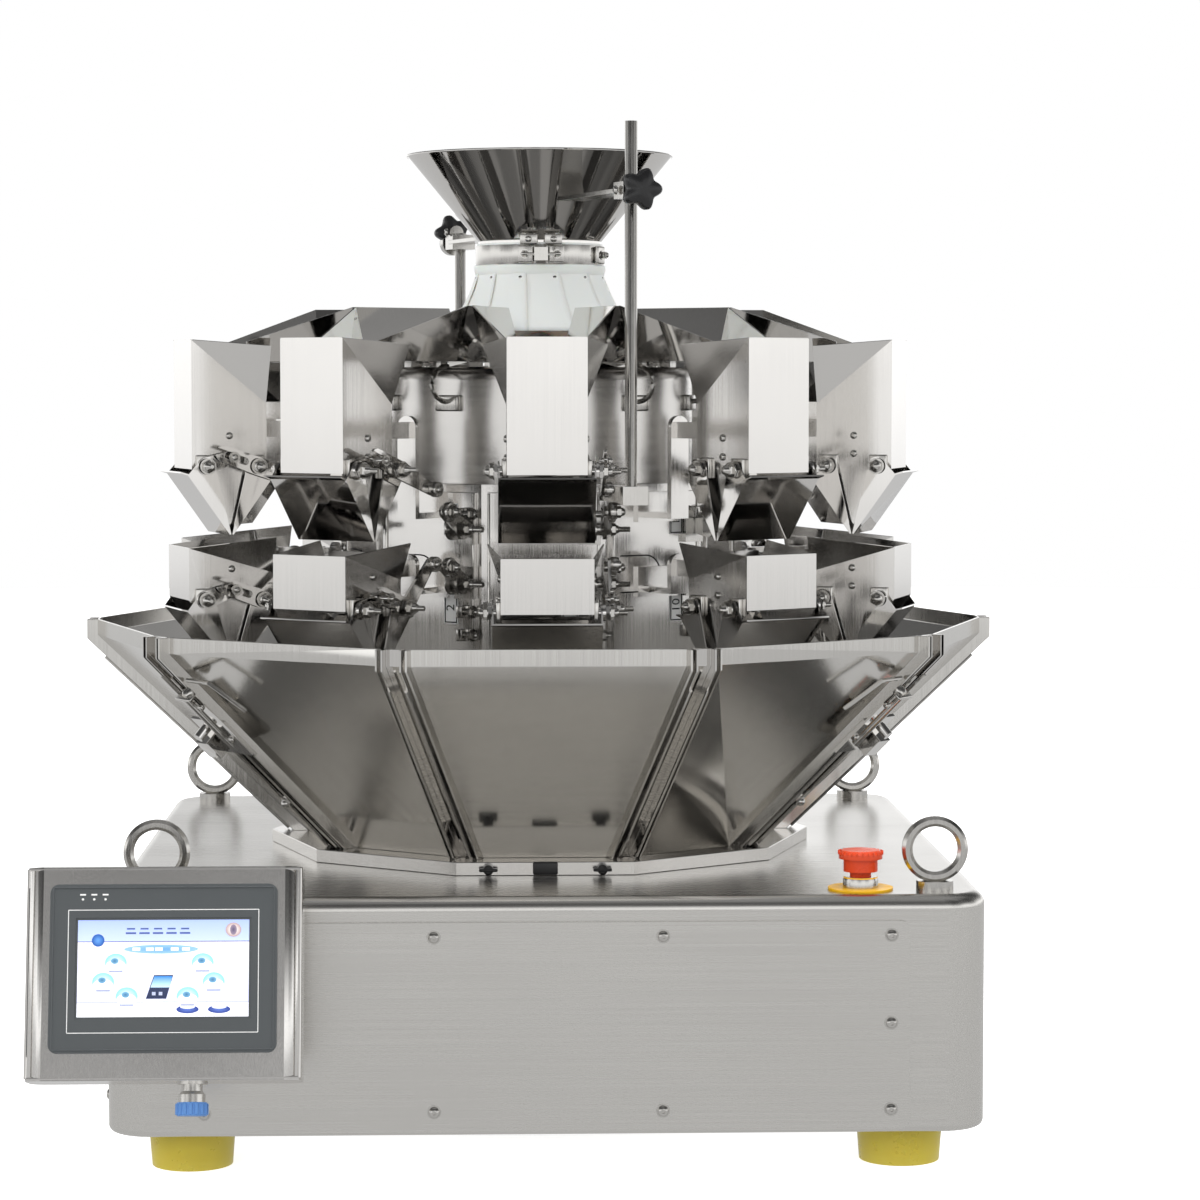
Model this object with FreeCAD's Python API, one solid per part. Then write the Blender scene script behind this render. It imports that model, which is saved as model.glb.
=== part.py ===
"""Ten-head combination weigher, free standing. Millimetres and degrees.

Origin on the floor under the discharge axis, +Z up, front faces -Y.
A head is drawn at the front: u outwards from the axis, v to the right seen
from outside, z up. turned() then carries it round the axis.
"""
import FreeCAD, Part
import math
import os
from types import SimpleNamespace

Vector = FreeCAD.Vector

# ---- heads ----
head_count = 10
working_heads = {"far_left": -2, "left": -1, "middle": 0, "right": 1, "far_right": 2}
hopper_radius = 338.0       # axis of the machine to the middle plane of a hopper
sheet = 1.5                 # stainless sheet of hoppers, doors and pans
pin_radius = 4.0
pin_fit = 0.05              # radial running fit of a door on its pin
boss_radius = 7.0
ear_radius = 9.0
pin_play = 0.5              # end play of a door between hopper and pin head
lever_thickness = 3.0
lever_room = 5.0            # front lever to rear lever, along the pin
coupling_radius = 3.0
fork_play = 0.7             # side play of the coupling pin in its fork
door_open = 40.0            # swing of a door
door_gap = 1.0              # between the closed doors at the bottom
door_room = 5.0             # hopper cheek to the closed door
flange_gap = 6.5            # hopper side to the door's side flange
seat_height = 30.0
tab_reach = 32.0            # column face to the hanger's upright tab
tab_width = 22.0
tab_thickness = 6.0

feed = SimpleNamespace(width=75.0, depth=76.0, low=651.0, top=779.0, inset=13.0, rise=3.0,
                       drop=64.0, stand_off=19.0, lip=8.5, back_top=716.0, ear_low=716.0,
                       ear_top=773.0, ear_flare=22.0, hang=690.0, tail=(-52.0, -20.0))
weigh = SimpleNamespace(width=87.0, depth=86.0, low=521.7, top=573.5, inset=15.0, rise=0.8,
                        drop=63.7, stand_off=20.0, lip=7.0, back_top=573.5, ear_low=548.0,
                        ear_top=583.5, ear_flare=12.5, hang=555.0, tail=(-38.0, 40.0))

# ---- base ----
foot_height = 40.0
foot_top_radius = 41.0
foot_low_radius = 38.0
foot_inset = 75.0           # cabinet side to the middle of a foot
base_width = 820.0
base_height = 222.0
base_corner = 42.0
base_edge = 12.0
well_radius = 226.0
cover_width = 671.0
cover_height = 195.5
cover_rise = 4.0            # base bottom to cover bottom
cover_thickness = 3.0
cover_corner = 10.0
eye_inset = 46.0            # cabinet side to the middle of an eye
eye_outer = 31.5
eye_section = 5.3
eye_collar = 17.5
eye_collar_height = 8.0
stop_inset = 116.0          # right side to the middle of the emergency stop
stop_setback = 46.0         # cabinet front to the middle of the emergency stop
stop_disc_radius = 30.5
stop_collar_radius = 16.0
stop_collar_height = 12.0
stop_stem_radius = 10.0
stop_travel = 4.0
stop_cap_radius = 20.5
stop_cap_height = 20.0
stop_cap_edge = 3.0

# ---- operator panel ----
box_width = 245.0
box_height = 190.0
box_depth = 68.0
box_corner = 15.0
box_inset = 65.0            # left side of the cabinet to the middle of the panel
box_reach = 131.0           # cabinet front to the face of the panel
box_rise = 80.0             # cabinet bottom to the panel's bottom
box_tilt = 14.0
bezel_width = 202.0
bezel_height = 150.0
bezel_thickness = 4.0
bezel_rise = 24.0           # box bottom to bezel bottom
screen_width = 156.0
screen_height = 90.0
screen_depth = 0.8
bezel_corner = 8.0
arm_thickness = 8.0
arm_height = 50.0
arm_plate = 6.0             # thickness of the plates at both ends of the arm
arm_plate_width = 30.0
arm_plate_height = 110.0

# ---- pedestal, column and drum ----
pedestal_radius = 120.0
pedestal_low = 70.0
web_height = 60.0
web_thickness = 12.0
column_low = 330.0
column_top = 637.0
column_apothem = 187.0
drive_cover = 3.0
drive_cover_width = 110.0
cover_inset = 12.0          # column end to the end of a drive cover
crank_side = 45.0           # middle of a head to its crank's ear
crank_set = 26.0            # drive cover to the crank shaft
crank_drop = 60.0           # hinge pins of a feed hopper to its crank shaft
roller_out = 30.0           # crank shaft to its roller, outwards
roller_up = 18.0
shaft_radius = 6.0
ear_sheet = 6.0
arm_sheet = 4.0
drum_radius = 157.0
drum_height = 115.0
drum_round = 13.0

# ---- feeding deck ----
pan_inner = 112.0
pan_shoulder = 220.0        # where neighbouring pans part
pan_mouth = 320.0
pan_gap = 2.0               # pan wall to the plane between two heads
pan_low = 757.0
pan_wall_top = 811.0
pan_mouth_top = 777.0
pan_mouth_width = 76.0
pan_lean = 0.26             # how far a pan wall leans out for each mm of height
pan_mount_height = 5.0
cone_radius = 108.0
cone_top = 800.0
cone_low = 768.0

# ---- infeed ----
collar_radius = 64.6
collar_low = 853.0
collar_height = 28.0
funnel_radius = 136.0
funnel_height = 87.0
funnel_sheet = 1.5
petal_count = 12
petal_drop = 65.0           # throat to the hem of the petals
petal_crease = 37.0         # throat to the crease across the petals
petal_low_apothem = 93.5
petal_mid_apothem = 78.5
petal_sheet = 1.2
petal_gap = 0.3             # outer petals over inner ones
petal_lap = 5.0             # how far an outer petal passes the corner
band_sheet = 1.5
rod_radius = 6.0
rod_seat = 268.0            # axis to rod
rod_foot_height = 16.0
right_rod_top = 986.0
left_rod_top = 900.0
right_clamp_rise = 39.0     # funnel throat's top edge to the clamp
left_clamp_rise = 9.0
clamp_size = 26.0
clamp_height = 16.0
clamp_plate = 4.0
slide_fit = 0.1

# ---- collecting chute ----
ring_height = 13.0
ring_width = 34.0
chute_low_apothem = 230.0
rim_apothem = 435.0
rim_top = 494.0
rim_band = 15.0
chute_sheet = 2.0
seam_half = 13.5            # corner plane to the edge of a panel
flange_depth = 12.0
channel_half = 10.0
seam_draw = 4.0             # seam channel drawn in from the corner of the panels
latch_corners = (1.5, 3.5, 6.5, 8.5)    # seams that carry a latch, counted in heads
latch_rise = 0.55           # its place along the seam
latch_seat = 0.3
latch_plate = 50.0
latch_width = 30.0
latch_leaf = 78.0
latch_block = 14.0
latch_stud = 5.0

base_top = foot_height + base_height
eye_spread = base_width / 2 - eye_inset
foot_spread = base_width / 2 - foot_inset
stop_x = base_width / 2 - stop_inset
stop_y = stop_setback - base_width / 2
box_x = box_inset - base_width / 2
box_face_y = -base_width / 2 - box_reach
box_low = foot_height + box_rise
collar_high = collar_low + collar_height
funnel_top = collar_high + funnel_height


def at(u, v, z):
    """Point of the front head in world terms."""
    return Vector(v, -u, z)


def turned(shape, angle):
    """Copy of a front-head shape, carried round the axis."""
    copy = shape.copy()
    copy.rotate(Vector(0, 0, 0), Vector(0, 0, 1), angle)
    return copy


def head_angle(head):
    return 360.0 / head_count * head


def round_all(shape, start=0.0):
    """The shape at every head, as separate solids of one compound."""
    return Part.makeCompound([turned(shape, start + head_angle(k)) for k in range(head_count)])


def joined(shapes):
    """One solid out of pieces that meet."""
    whole = shapes[0]
    if len(shapes) > 1:
        whole = shapes[0].fuse(shapes[1:])
    return whole.removeSplitter()


def plate(outline, v0, v1):
    """Solid of a (u, z) outline between two planes across the head."""
    wire = Part.makePolygon([at(u, v0, z) for u, z in outline + outline[:1]])
    return Part.Face(wire).extrude(Vector(v1 - v0, 0, 0))


def block(u0, u1, v0, v1, z0, z1):
    return Part.makeBox(v1 - v0, u1 - u0, z1 - z0, Vector(v0, -u1, z0))


def across(radius, u, z, v0, v1):
    """Round bar that lies across the head."""
    return Part.makeCylinder(radius, v1 - v0, at(u, v0, z), Vector(1, 0, 0))


def hexagon(radius, u, z, v0, v1):
    """Hexagonal head of a pin that lies across the head of the machine."""
    corners = []
    for k in range(6):
        angle = math.radians(60 * k)
        corners.append((u + radius * math.cos(angle), z + radius * math.sin(angle)))
    return plate(corners, v0, v1)


def upright(radius, x, y, z0, z1):
    return Part.makeCylinder(radius, z1 - z0, Vector(x, y, z0))


def sheet_outline(line, thickness):
    """Outline of a folded sheet: a (u, z) line and its parallel to the right, mitred at the folds."""
    normals = []
    for (u0, z0), (u1, z1) in zip(line, line[1:]):
        length = math.hypot(u1 - u0, z1 - z0)
        normals.append(((z1 - z0) / length, (u0 - u1) / length))
    ends = [normals[0]] + normals + [normals[-1]]
    parallel = []
    for (u, z), (a, b), (c, d) in zip(line, ends, ends[1:]):
        mitre = thickness / (1 + a * c + b * d)
        parallel.append((u + mitre * (a + c), z + mitre * (b + d)))
    return line + parallel[::-1]


def link(p, q, p_radius, q_radius, v0, v1):
    """Lever with round ends of two sizes about the (u, z) points p and q."""
    length = math.hypot(q[0] - p[0], q[1] - p[1])
    along = math.atan2(q[1] - p[1], q[0] - p[0])
    lean = math.acos((p_radius - q_radius) / length)

    def rim(centre, radius, angle):
        return at(centre[0] + radius * math.cos(angle), v0, centre[1] + radius * math.sin(angle))

    p_up, p_low = rim(p, p_radius, along + lean), rim(p, p_radius, along - lean)
    q_up, q_low = rim(q, q_radius, along + lean), rim(q, q_radius, along - lean)
    edges = [Part.LineSegment(p_up, q_up),
             Part.Arc(q_up, rim(q, q_radius, along), q_low),
             Part.LineSegment(q_low, p_low),
             Part.Arc(p_low, rim(p, p_radius, along + math.pi), p_up)]
    wire = Part.Wire([edge.toShape() for edge in edges])
    return Part.Face(wire).extrude(Vector(v1 - v0, 0, 0))


def decagon(apothem, low, high):
    """Ten-sided prism with a face to every head."""
    half = math.radians(head_angle(0.5))
    radius = apothem / math.cos(half)
    corners = []
    for k in range(head_count + 1):
        angle = half * (2 * k + 1)
        corners.append(Vector(radius * math.sin(angle), -radius * math.cos(angle), low))
    return Part.Face(Part.makePolygon(corners)).extrude(Vector(0, 0, high - low))


def head_room(margin, low, high):
    """Wedge between a head's two corner planes, each drawn in by a margin."""
    half = math.radians(head_angle(0.5))
    reach = base_width
    side = reach * math.tan(half) - margin / math.cos(half)
    tip = margin / math.sin(half)
    corners = [at(tip, 0, low), at(reach, side, low), at(reach, -side, low), at(tip, 0, low)]
    return Part.Face(Part.makePolygon(corners)).extrude(Vector(0, 0, high - low))


# ---- hoppers and their doors ----

def front_pin(h):
    return hopper_radius + h.depth / 2 - h.inset, h.low + h.rise


def rear_pin(h):
    u, z = front_pin(h)
    return 2 * hopper_radius - u, z


def door_line(h):
    """Tip of the closed front door, tilt of its plate and its length to the pin's foot."""
    pin_u, pin_z = front_pin(h)
    tip = (hopper_radius + door_gap / 2, h.low - h.drop)
    reach = math.hypot(pin_u - tip[0], pin_z - tip[1])
    lean = math.asin(h.stand_off / reach)
    tilt = math.atan2(pin_u - tip[0], pin_z - tip[1]) + lean
    return tip, tilt, reach * math.cos(lean)


def flange_side(h):
    """Inside of a door's side flange, across the head."""
    return h.width / 2 + flange_gap


def lever_layers(h):
    """Start of the front lever and of the rear lever along the pins."""
    front = flange_side(h) + sheet
    return front, front + lever_thickness + lever_room


def mouth_ear(h, side):
    """Corner of the hopper's side, folded out along a slanting line."""
    inner = side * (h.width / 2 - sheet)
    front, back = hopper_radius + h.depth / 2, hopper_radius - h.depth / 2
    corners = [at(front, inner, h.top), at(back, inner, h.ear_low),
               at(back, inner + side * h.ear_flare, h.ear_top)]
    face = Part.Face(Part.makePolygon(corners + corners[:1]))
    normal = (corners[1] - corners[0]).cross(corners[2] - corners[0]).normalize()
    if normal.x * side < 0:
        normal = normal.negative()
    return face.extrude(normal.multiply(sheet))


def cheek_outline(h):
    """Side of a hopper: upright walls, slanting mouth and a keel between the doors."""
    front, back = hopper_radius + h.depth / 2, hopper_radius - h.depth / 2
    tip, tilt, _ = door_line(h)
    keel = tip[1] + door_room / math.sin(tilt)
    shoulder = front_pin(h)[0]
    shoulder_z = keel + (shoulder - tip[0]) / math.tan(tilt)
    return [(back, h.low), (2 * hopper_radius - shoulder, shoulder_z), (hopper_radius, keel),
            (shoulder, shoulder_z), (front, h.low), (front, h.top), (back, h.ear_low)]


def pins(h):
    """The four hinge pins of a hopper, each with its round head."""
    side = h.width / 2 - sheet
    front_layer, rear_layer = lever_layers(h)
    plain_end = flange_side(h) + sheet + pin_play
    front_end = front_layer + lever_thickness + pin_play
    rear_end = rear_layer + lever_thickness + pin_play
    shapes = []
    for (u, z), end in ((front_pin(h), front_end), (rear_pin(h), rear_end)):
        shapes.append(across(pin_radius, u, z, side, end))
        shapes.append(hexagon(boss_radius, u, z, end, end + lever_thickness))
        shapes.append(across(pin_radius, u, z, -plain_end, -side))
        shapes.append(hexagon(boss_radius, u, z, -plain_end - lever_thickness, -plain_end))
    return shapes


def hanger(h):
    """Bracket from the drive column to the back of a hopper: seat, upright tab and arm."""
    back = hopper_radius - h.depth / 2
    face = column_apothem + drive_cover
    seat_top = min(h.hang, column_top - 8)
    tab = face + tab_reach
    low = seat_top - seat_height
    half = tab_width / 2
    seat = block(face, face + 4, -half - 14, half + 14, low, seat_top)
    shelf = block(face, tab, -half, half, low + 4, low + 4 + tab_thickness)
    upright_tab = block(tab, tab + tab_thickness, -half, half, low + 4, h.hang + 3)
    top = Part.makeCylinder(half, tab_thickness, at(tab, 0, h.hang + 3), Vector(0, -1, 0))
    arm = block(tab, back + sheet, -half + 4, half - 4, h.hang - 8, h.hang + 8)
    return [seat, shelf, upright_tab, top, arm]


def hopper(h):
    front, back = hopper_radius + h.depth / 2, hopper_radius - h.depth / 2
    half = h.width / 2
    cheek = cheek_outline(h)
    shapes = [plate(cheek, half - sheet, half), plate(cheek, -half, -half + sheet),
              block(front - sheet, front, -half, half, h.low, h.top),
              block(back, back + sheet, -half, half, h.low, h.back_top),
              mouth_ear(h, 1), mouth_ear(h, -1)]
    return joined(shapes + pins(h) + hanger(h))


def door_blade(h):
    """Front door without levers: plate, lip, two side flanges with eyes for the pins."""
    tip, tilt, length = door_line(h)
    pin = front_pin(h)
    up = (math.sin(tilt), math.cos(tilt))
    reach = length + h.lip / 2
    bend = (tip[0] + reach * up[0], tip[1] + reach * up[1])
    lip_tilt = tilt + math.radians(38)
    lip = (bend[0] + h.lip * math.sin(lip_tilt), bend[1] + h.lip * math.cos(lip_tilt))
    inner = flange_side(h)
    outer = inner + sheet
    shapes = [plate(sheet_outline([tip, bend, lip], sheet), -outer, outer)]
    flange = [tip, bend, (pin[0] + ear_radius * 0.5, pin[1] + ear_radius * 0.87),
              (pin[0] - ear_radius * 0.9, pin[1] + ear_radius * 0.4)]
    for v in (-outer, inner):
        shapes.append(plate(flange, v, v + sheet))
        shapes.append(across(ear_radius, pin[0], pin[1], v, v + sheet))
    return shapes


def bored(h, shapes, pin, length):
    """Door with the running bores of its two pins."""
    whole = joined(shapes)
    bore = across(pin_radius + pin_fit, pin[0], pin[1], -length, length)
    return whole.cut(bore)


def coupling_reach(h):
    """Length of the coupling arm: the two doors turn alike at both ends of the swing."""
    span = front_pin(h)[0] - rear_pin(h)[0]
    return span / 2 / math.cos(math.radians(door_open / 2))


def front_door(h):
    """Front door with the arm and pin that lead the rear door."""
    pin = front_pin(h)
    layer, rear_layer = lever_layers(h)
    half_swing = math.radians(door_open / 2)
    reach = coupling_reach(h)
    end = (pin[0] - reach * math.cos(half_swing), pin[1] + reach * math.sin(half_swing))
    arm = link(pin, end, ear_radius, coupling_radius + 3, layer, layer + lever_thickness)
    stud = across(coupling_radius, end[0], end[1], layer, rear_layer + lever_thickness + 2)
    return bored(h, door_blade(h) + [arm, stud], pin, h.width)


def rear_door(h):
    """Rear door with the fork that takes the coupling pin, and the tail the crank works on."""
    pin = rear_pin(h)
    middle = at(hopper_radius, 0, 0)
    blade = [shape.mirror(middle, Vector(0, 1, 0)) for shape in door_blade(h)]
    flange_end = flange_side(h) + sheet
    layer = lever_layers(h)[1]
    half_swing = math.radians(door_open / 2)
    near, far = coupling_reach(h) * 0.55, coupling_reach(h) * 1.4
    end = (pin[0] + far * math.cos(half_swing), pin[1] + far * math.sin(half_swing))
    start = (pin[0] + near * math.cos(half_swing), pin[1] + near * math.sin(half_swing))
    tail = (pin[0] + h.tail[0], pin[1] + h.tail[1])
    fork = link(pin, end, ear_radius, 8, layer, layer + lever_thickness)
    slot_half = coupling_radius + fork_play
    beyond = (2 * end[0] - start[0], 2 * end[1] - start[1])
    slot = link(start, beyond, slot_half, slot_half * 1.001, layer, layer + lever_thickness)
    lever = link(pin, tail, ear_radius, 6, layer, layer + lever_thickness)
    spacer = across(boss_radius + 1, pin[0], pin[1], flange_end, layer)
    return bored(h, blade + [fork.cut(slot), lever, spacer], pin, h.width)


def closed_doors(h):
    """Both doors of a head on the far side, as they stand closed."""
    return [bored(h, door_blade(h), front_pin(h), h.width),
            bored(h, [shape.mirror(at(hopper_radius, 0, 0), Vector(0, 1, 0))
                      for shape in door_blade(h)], rear_pin(h), h.width)]


def rear_head_doors():
    shapes = []
    for head in range(3, head_count - 2):
        for h in (feed, weigh):
            shapes += [turned(door, head_angle(head)) for door in closed_doors(h)]
    return Part.makeCompound(shapes)


# ---- base ----

def base_cabinet():
    half = base_width / 2
    body = Part.makeBox(base_width, base_width, base_height, Vector(-half, -half, foot_height))
    upright_edges = [e for e in body.Edges if abs(e.tangentAt(e.FirstParameter).z) > 0.9]
    body = body.makeFillet(base_corner, upright_edges)
    top = base_top
    body = body.makeFillet(base_edge, [e for e in body.Edges if e.BoundBox.ZMin > top - 0.01])
    body = body.makeFillet(base_edge / 2, [e for e in body.Edges
                                           if e.BoundBox.ZMax < foot_height + 0.01])
    return body.cut(upright(well_radius, 0, 0, foot_height, top))


def cover_plate():
    low = foot_height + cover_rise
    half = cover_width / 2
    face = base_width / 2
    body = block(face, face + cover_thickness, -half, half, low, low + cover_height)
    corners = [e for e in body.Edges if abs(e.tangentAt(e.FirstParameter).y) > 0.9]
    return body.makeFillet(cover_corner, corners)


def cabinet_covers():
    return Part.makeCompound([turned(cover_plate(), 90 * k) for k in range(4)])


def at_corners(spread, make):
    return Part.makeCompound([make(x * spread, y * spread) for x in (-1, 1) for y in (-1, 1)])


def foot(x, y):
    return Part.makeCone(foot_low_radius, foot_top_radius, foot_height, Vector(x, y, 0))


def lifting_eye(x, y):
    """Eye bolt: a ring of eight-sided section on a collar."""
    ring_radius = eye_outer - eye_section
    middle = Vector(x, y, base_top + eye_collar_height + eye_outer - 2)
    corners = []
    for k in range(8):
        angle = math.radians(22.5 + 45 * k)
        corners.append(middle + Vector(ring_radius + eye_section * math.cos(angle),
                                       eye_section * math.sin(angle), 0))
    section = Part.Face(Part.makePolygon(corners + corners[:1]))
    ring = section.revolve(middle, Vector(0, 1, 0), 360)
    collar = upright(eye_collar, x, y, base_top, base_top + eye_collar_height)
    return joined([ring, collar])


def emergency_stop_base():
    top = base_top
    disc = upright(stop_disc_radius, stop_x, stop_y, top, top + 2)
    collar = upright(stop_collar_radius, stop_x, stop_y, top, top + stop_collar_height)
    bore = upright(stop_stem_radius + pin_fit, stop_x, stop_y, top + 2, top + stop_collar_height)
    return joined([disc, collar]).cut(bore)


def emergency_stop_button():
    """Mushroom button on its stem, one turned piece."""
    collar_top = base_top + stop_collar_height
    low = collar_top + stop_travel + 1
    high = low + stop_cap_height
    rim = low + stop_cap_height * 0.6
    profile = [(0, collar_top - 5), (stop_stem_radius, collar_top - 5), (stop_stem_radius, low),
               (stop_collar_radius, low), (stop_collar_radius, rim), (stop_cap_radius, rim),
               (stop_cap_radius, high - stop_cap_edge), (stop_cap_radius - stop_cap_edge, high),
               (0, high)]
    wire = Part.makePolygon([Vector(stop_x + r, stop_y, z) for r, z in profile + profile[:1]])
    return Part.Face(wire).revolve(Vector(stop_x, stop_y, 0), Vector(0, 0, 1), 360)


# ---- operator panel ----

def leaned(shape):
    """Operator panel piece, leaned back about the bottom edge of the box's face."""
    shape.rotate(Vector(0, box_face_y, box_low), Vector(1, 0, 0), -box_tilt)
    return shape


def control_box():
    body = Part.makeBox(box_width, box_depth, box_height,
                        Vector(box_x - box_width / 2, box_face_y, box_low))
    upright_edges = [e for e in body.Edges if abs(e.tangentAt(e.FirstParameter).z) > 0.9]
    return leaned(body.makeFillet(box_corner, upright_edges))


def touch_screen():
    low = box_low + bezel_rise
    bezel = Part.makeBox(bezel_width, bezel_thickness, bezel_height,
                         Vector(box_x - bezel_width / 2, box_face_y - bezel_thickness, low))
    bezel = bezel.makeFillet(bezel_corner, [e for e in bezel.Edges
                                 if abs(e.tangentAt(e.FirstParameter).y) > 0.9])
    middle = low + bezel_height / 2
    display = Part.makeBox(screen_width, screen_depth, screen_height,
                           Vector(box_x - screen_width / 2, box_face_y - bezel_thickness,
                                  middle - screen_height / 2))
    return leaned(bezel.cut(display))


def control_box_arm():
    """Bracket from the cabinet's front to the back of the operator panel."""
    back = box_face_y + box_depth
    front = -base_width / 2
    middle = box_low + box_height / 2
    side = base_corner - base_width / 2
    arm_side = side + (arm_plate_width - arm_thickness) / 2
    pad = leaned(Part.makeBox(arm_height, arm_plate, 80,
                              Vector(box_x - arm_height / 2, back, middle - 40)))
    flange = Part.makeBox(arm_plate_width, arm_plate, arm_plate_height,
                          Vector(side, front - arm_plate, middle - arm_plate_height / 2))
    arm = Part.makeBox(arm_thickness, front - back - 2, arm_height,
                       Vector(arm_side, back + 2, middle - arm_height / 2))
    return joined([pad, flange, arm]).cut(control_box())


def connector_cap():
    x, y = box_x + 24, box_face_y + box_depth / 2
    neck = upright(9, x, y, box_low - 18, box_low)
    cap = upright(13.5, x, y, box_low - 30, box_low - 18)
    return leaned(joined([neck, cap]))


# ---- pedestal, column, drum ----

def pedestal():
    tube = upright(pedestal_radius, 0, 0, pedestal_low, column_low)
    shapes = [tube]
    for k in range(4):
        web = block(pedestal_radius - 5, well_radius, -web_thickness / 2, web_thickness / 2,
                    pedestal_low + 20, pedestal_low + 20 + web_height)
        shapes.append(turned(web, 45 + 90 * k))
    reach = well_radius + 1
    return joined(shapes).common(upright(reach - 1, 0, 0, 0, column_low))


def drive_column():
    return decagon(column_apothem, column_low, column_top)


def drive_covers():
    half = drive_cover_width / 2
    face = column_apothem
    cover = block(face, face + drive_cover, -half, half, column_low + cover_inset,
                  column_top - 8)
    return round_all(cover)


def drive_crank(shaft_z):
    """Crank on the column face beside a hopper, with the roller that pushes the lever tail."""
    face = column_apothem + drive_cover
    shaft = (face + crank_set, shaft_z)
    roller = (shaft[0] + roller_out, shaft_z + roller_up)
    end = crank_side + shaft_radius * 2
    half = shaft_radius + 5
    shapes = [block(face, face + ear_sheet, crank_side - half, crank_side + half,
                    shaft_z - half - 5, shaft_z + half + 5),
              link(shaft, (face + half, shaft_z), half, half - 3, crank_side, crank_side + ear_sheet),
              across(shaft_radius, shaft[0], shaft_z, crank_side, end),
              link(shaft, roller, shaft_radius + 4, shaft_radius, end, end + arm_sheet),
              hexagon(shaft_radius, shaft[0], shaft_z, end + arm_sheet, end + arm_sheet * 2),
              across(shaft_radius, roller[0], roller[1], end + arm_sheet, end + arm_sheet * 3)]
    return joined(shapes)


def drive_cranks():
    upper = drive_crank(front_pin(feed)[1] - crank_drop)
    lower = drive_crank(front_pin(weigh)[1] + roller_up)
    return Part.makeCompound([round_all(upper), round_all(lower)])


def vibrator_drum():
    body = upright(drum_radius, 0, 0, column_top, column_top + drum_height)
    rims = [e for e in body.Edges if e.Length > drum_radius * 3]
    return body.makeFillet(drum_round, [e for e in rims if e.BoundBox.ZMin > column_top + 1])


def pan_mount():
    low = column_top + drum_height
    return block(pan_inner + 4, drum_radius - drum_round - 2, -12, 12, low,
                 low + pan_mount_height)


def pan_section(u, half, top, wall):
    """Open cross-section of a pan, its walls leaning out from the floor."""
    high = top + (50 if wall else 0)
    rim = half - wall + pan_lean * (high - top)
    floor = half - wall - pan_lean * (top - pan_low - wall)
    points = [at(u, -rim, high), at(u, -floor, pan_low + wall),
              at(u, floor, pan_low + wall), at(u, rim, high)]
    return Part.makePolygon(points + points[:1])


def feeder_pan():
    """Vibrating pan: parallel to its neighbours inside, tapered to a mouth over the hopper."""
    half = math.radians(head_angle(0.5))

    def room(u):
        return u * math.tan(half) - pan_gap

    outer, inner = [], []
    stations = ((pan_inner, room(pan_inner), pan_wall_top),
                (pan_shoulder, room(pan_shoulder), pan_wall_top),
                (pan_mouth, pan_mouth_width / 2, pan_mouth_top))
    for u, width, top in stations:
        outer.append(pan_section(u, width, top, 0))
        inner.append(pan_section(u, width, top, sheet))
    shell = Part.makeLoft(outer, True, True)
    hollow = Part.makeLoft(inner, True, True)
    return shell.cut(hollow)


def top_cone():
    """Dispersion cone over the inner ends of the pans, on its stem."""
    low = column_top + drum_height
    profile = [(0, cone_top), (cone_radius, cone_low), (cone_radius, cone_low - 3),
               (30, cone_low - 3), (30, low), (0, low)]
    wire = Part.makePolygon([Vector(r, 0, z) for r, z in profile + profile[:1]])
    return Part.Face(wire).revolve(Vector(0, 0, 0), Vector(0, 0, 1), 360)


# ---- infeed ----

def revolved(line, thickness):
    """Sheet of revolution from a (radius, z) line and its parallel on the right."""
    outline = sheet_outline(line, thickness)
    wire = Part.makePolygon([Vector(r, 0, z) for r, z in outline + outline[:1]])
    return Part.Face(wire).revolve(Vector(0, 0, 0), Vector(0, 0, 1), 360)


def petal(apothem_shift, lap):
    """Sheet flap under the funnel, creased across, as wide as its share of the circle and a lap."""
    top_apothem = collar_radius - petal_sheet
    stations = ((petal_low_apothem, -petal_drop), (petal_mid_apothem, -petal_crease),
                (top_apothem, 0))
    line = [(u + apothem_shift, collar_low + z) for u, z in stations]
    share = math.tan(math.pi / petal_count)
    wide = petal_low_apothem
    flap = plate(sheet_outline(line, petal_sheet), -wide, wide)
    edge = [(u * share + lap, z) for u, z in line]
    side = [Vector(v, 0, z) for v, z in edge] + [Vector(-v, 0, z) for v, z in edge[::-1]]
    room = Part.Face(Part.makePolygon(side + side[:1])).extrude(Vector(0, -2 * wide, 0))
    return flap.common(room)


def petal_skirt():
    """Petals in two layers, the outer ones lapped over the inner, on a hoop in the throat."""
    step = 360.0 / petal_count
    hoop = [(collar_radius - petal_sheet, collar_low - 2), (collar_radius - petal_sheet,
                                                            collar_high - 4)]
    shapes = [revolved(hoop, petal_sheet)]
    for k in range(petal_count):
        if k % 2:
            shapes.append(turned(petal(petal_sheet + petal_gap - 0.6, petal_lap), k * step))
        else:
            shapes.append(turned(petal(-0.6, 0), k * step))
    return joined(shapes)


def infeed_funnel():
    inner = collar_radius - petal_sheet - funnel_sheet
    line = [(inner, collar_low), (inner, collar_high), (funnel_radius - funnel_sheet, funnel_top)]
    return revolved(line, funnel_sheet)


def funnel_collar():
    """Clamp band round the throat, with its two lugs."""
    inner = collar_radius
    band = upright(collar_radius + band_sheet, 0, 0, collar_low + 3, collar_high - 5)
    lugs = block(collar_radius, collar_radius + 12, -7, 7, collar_low + 6, collar_high - 8)
    return joined([band, lugs]).cut(upright(inner, 0, 0, collar_low, collar_high))


def funnel_outside(z):
    slope = (funnel_radius - collar_radius) / (funnel_top - collar_high)
    return collar_radius + (z - collar_high) * slope


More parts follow.
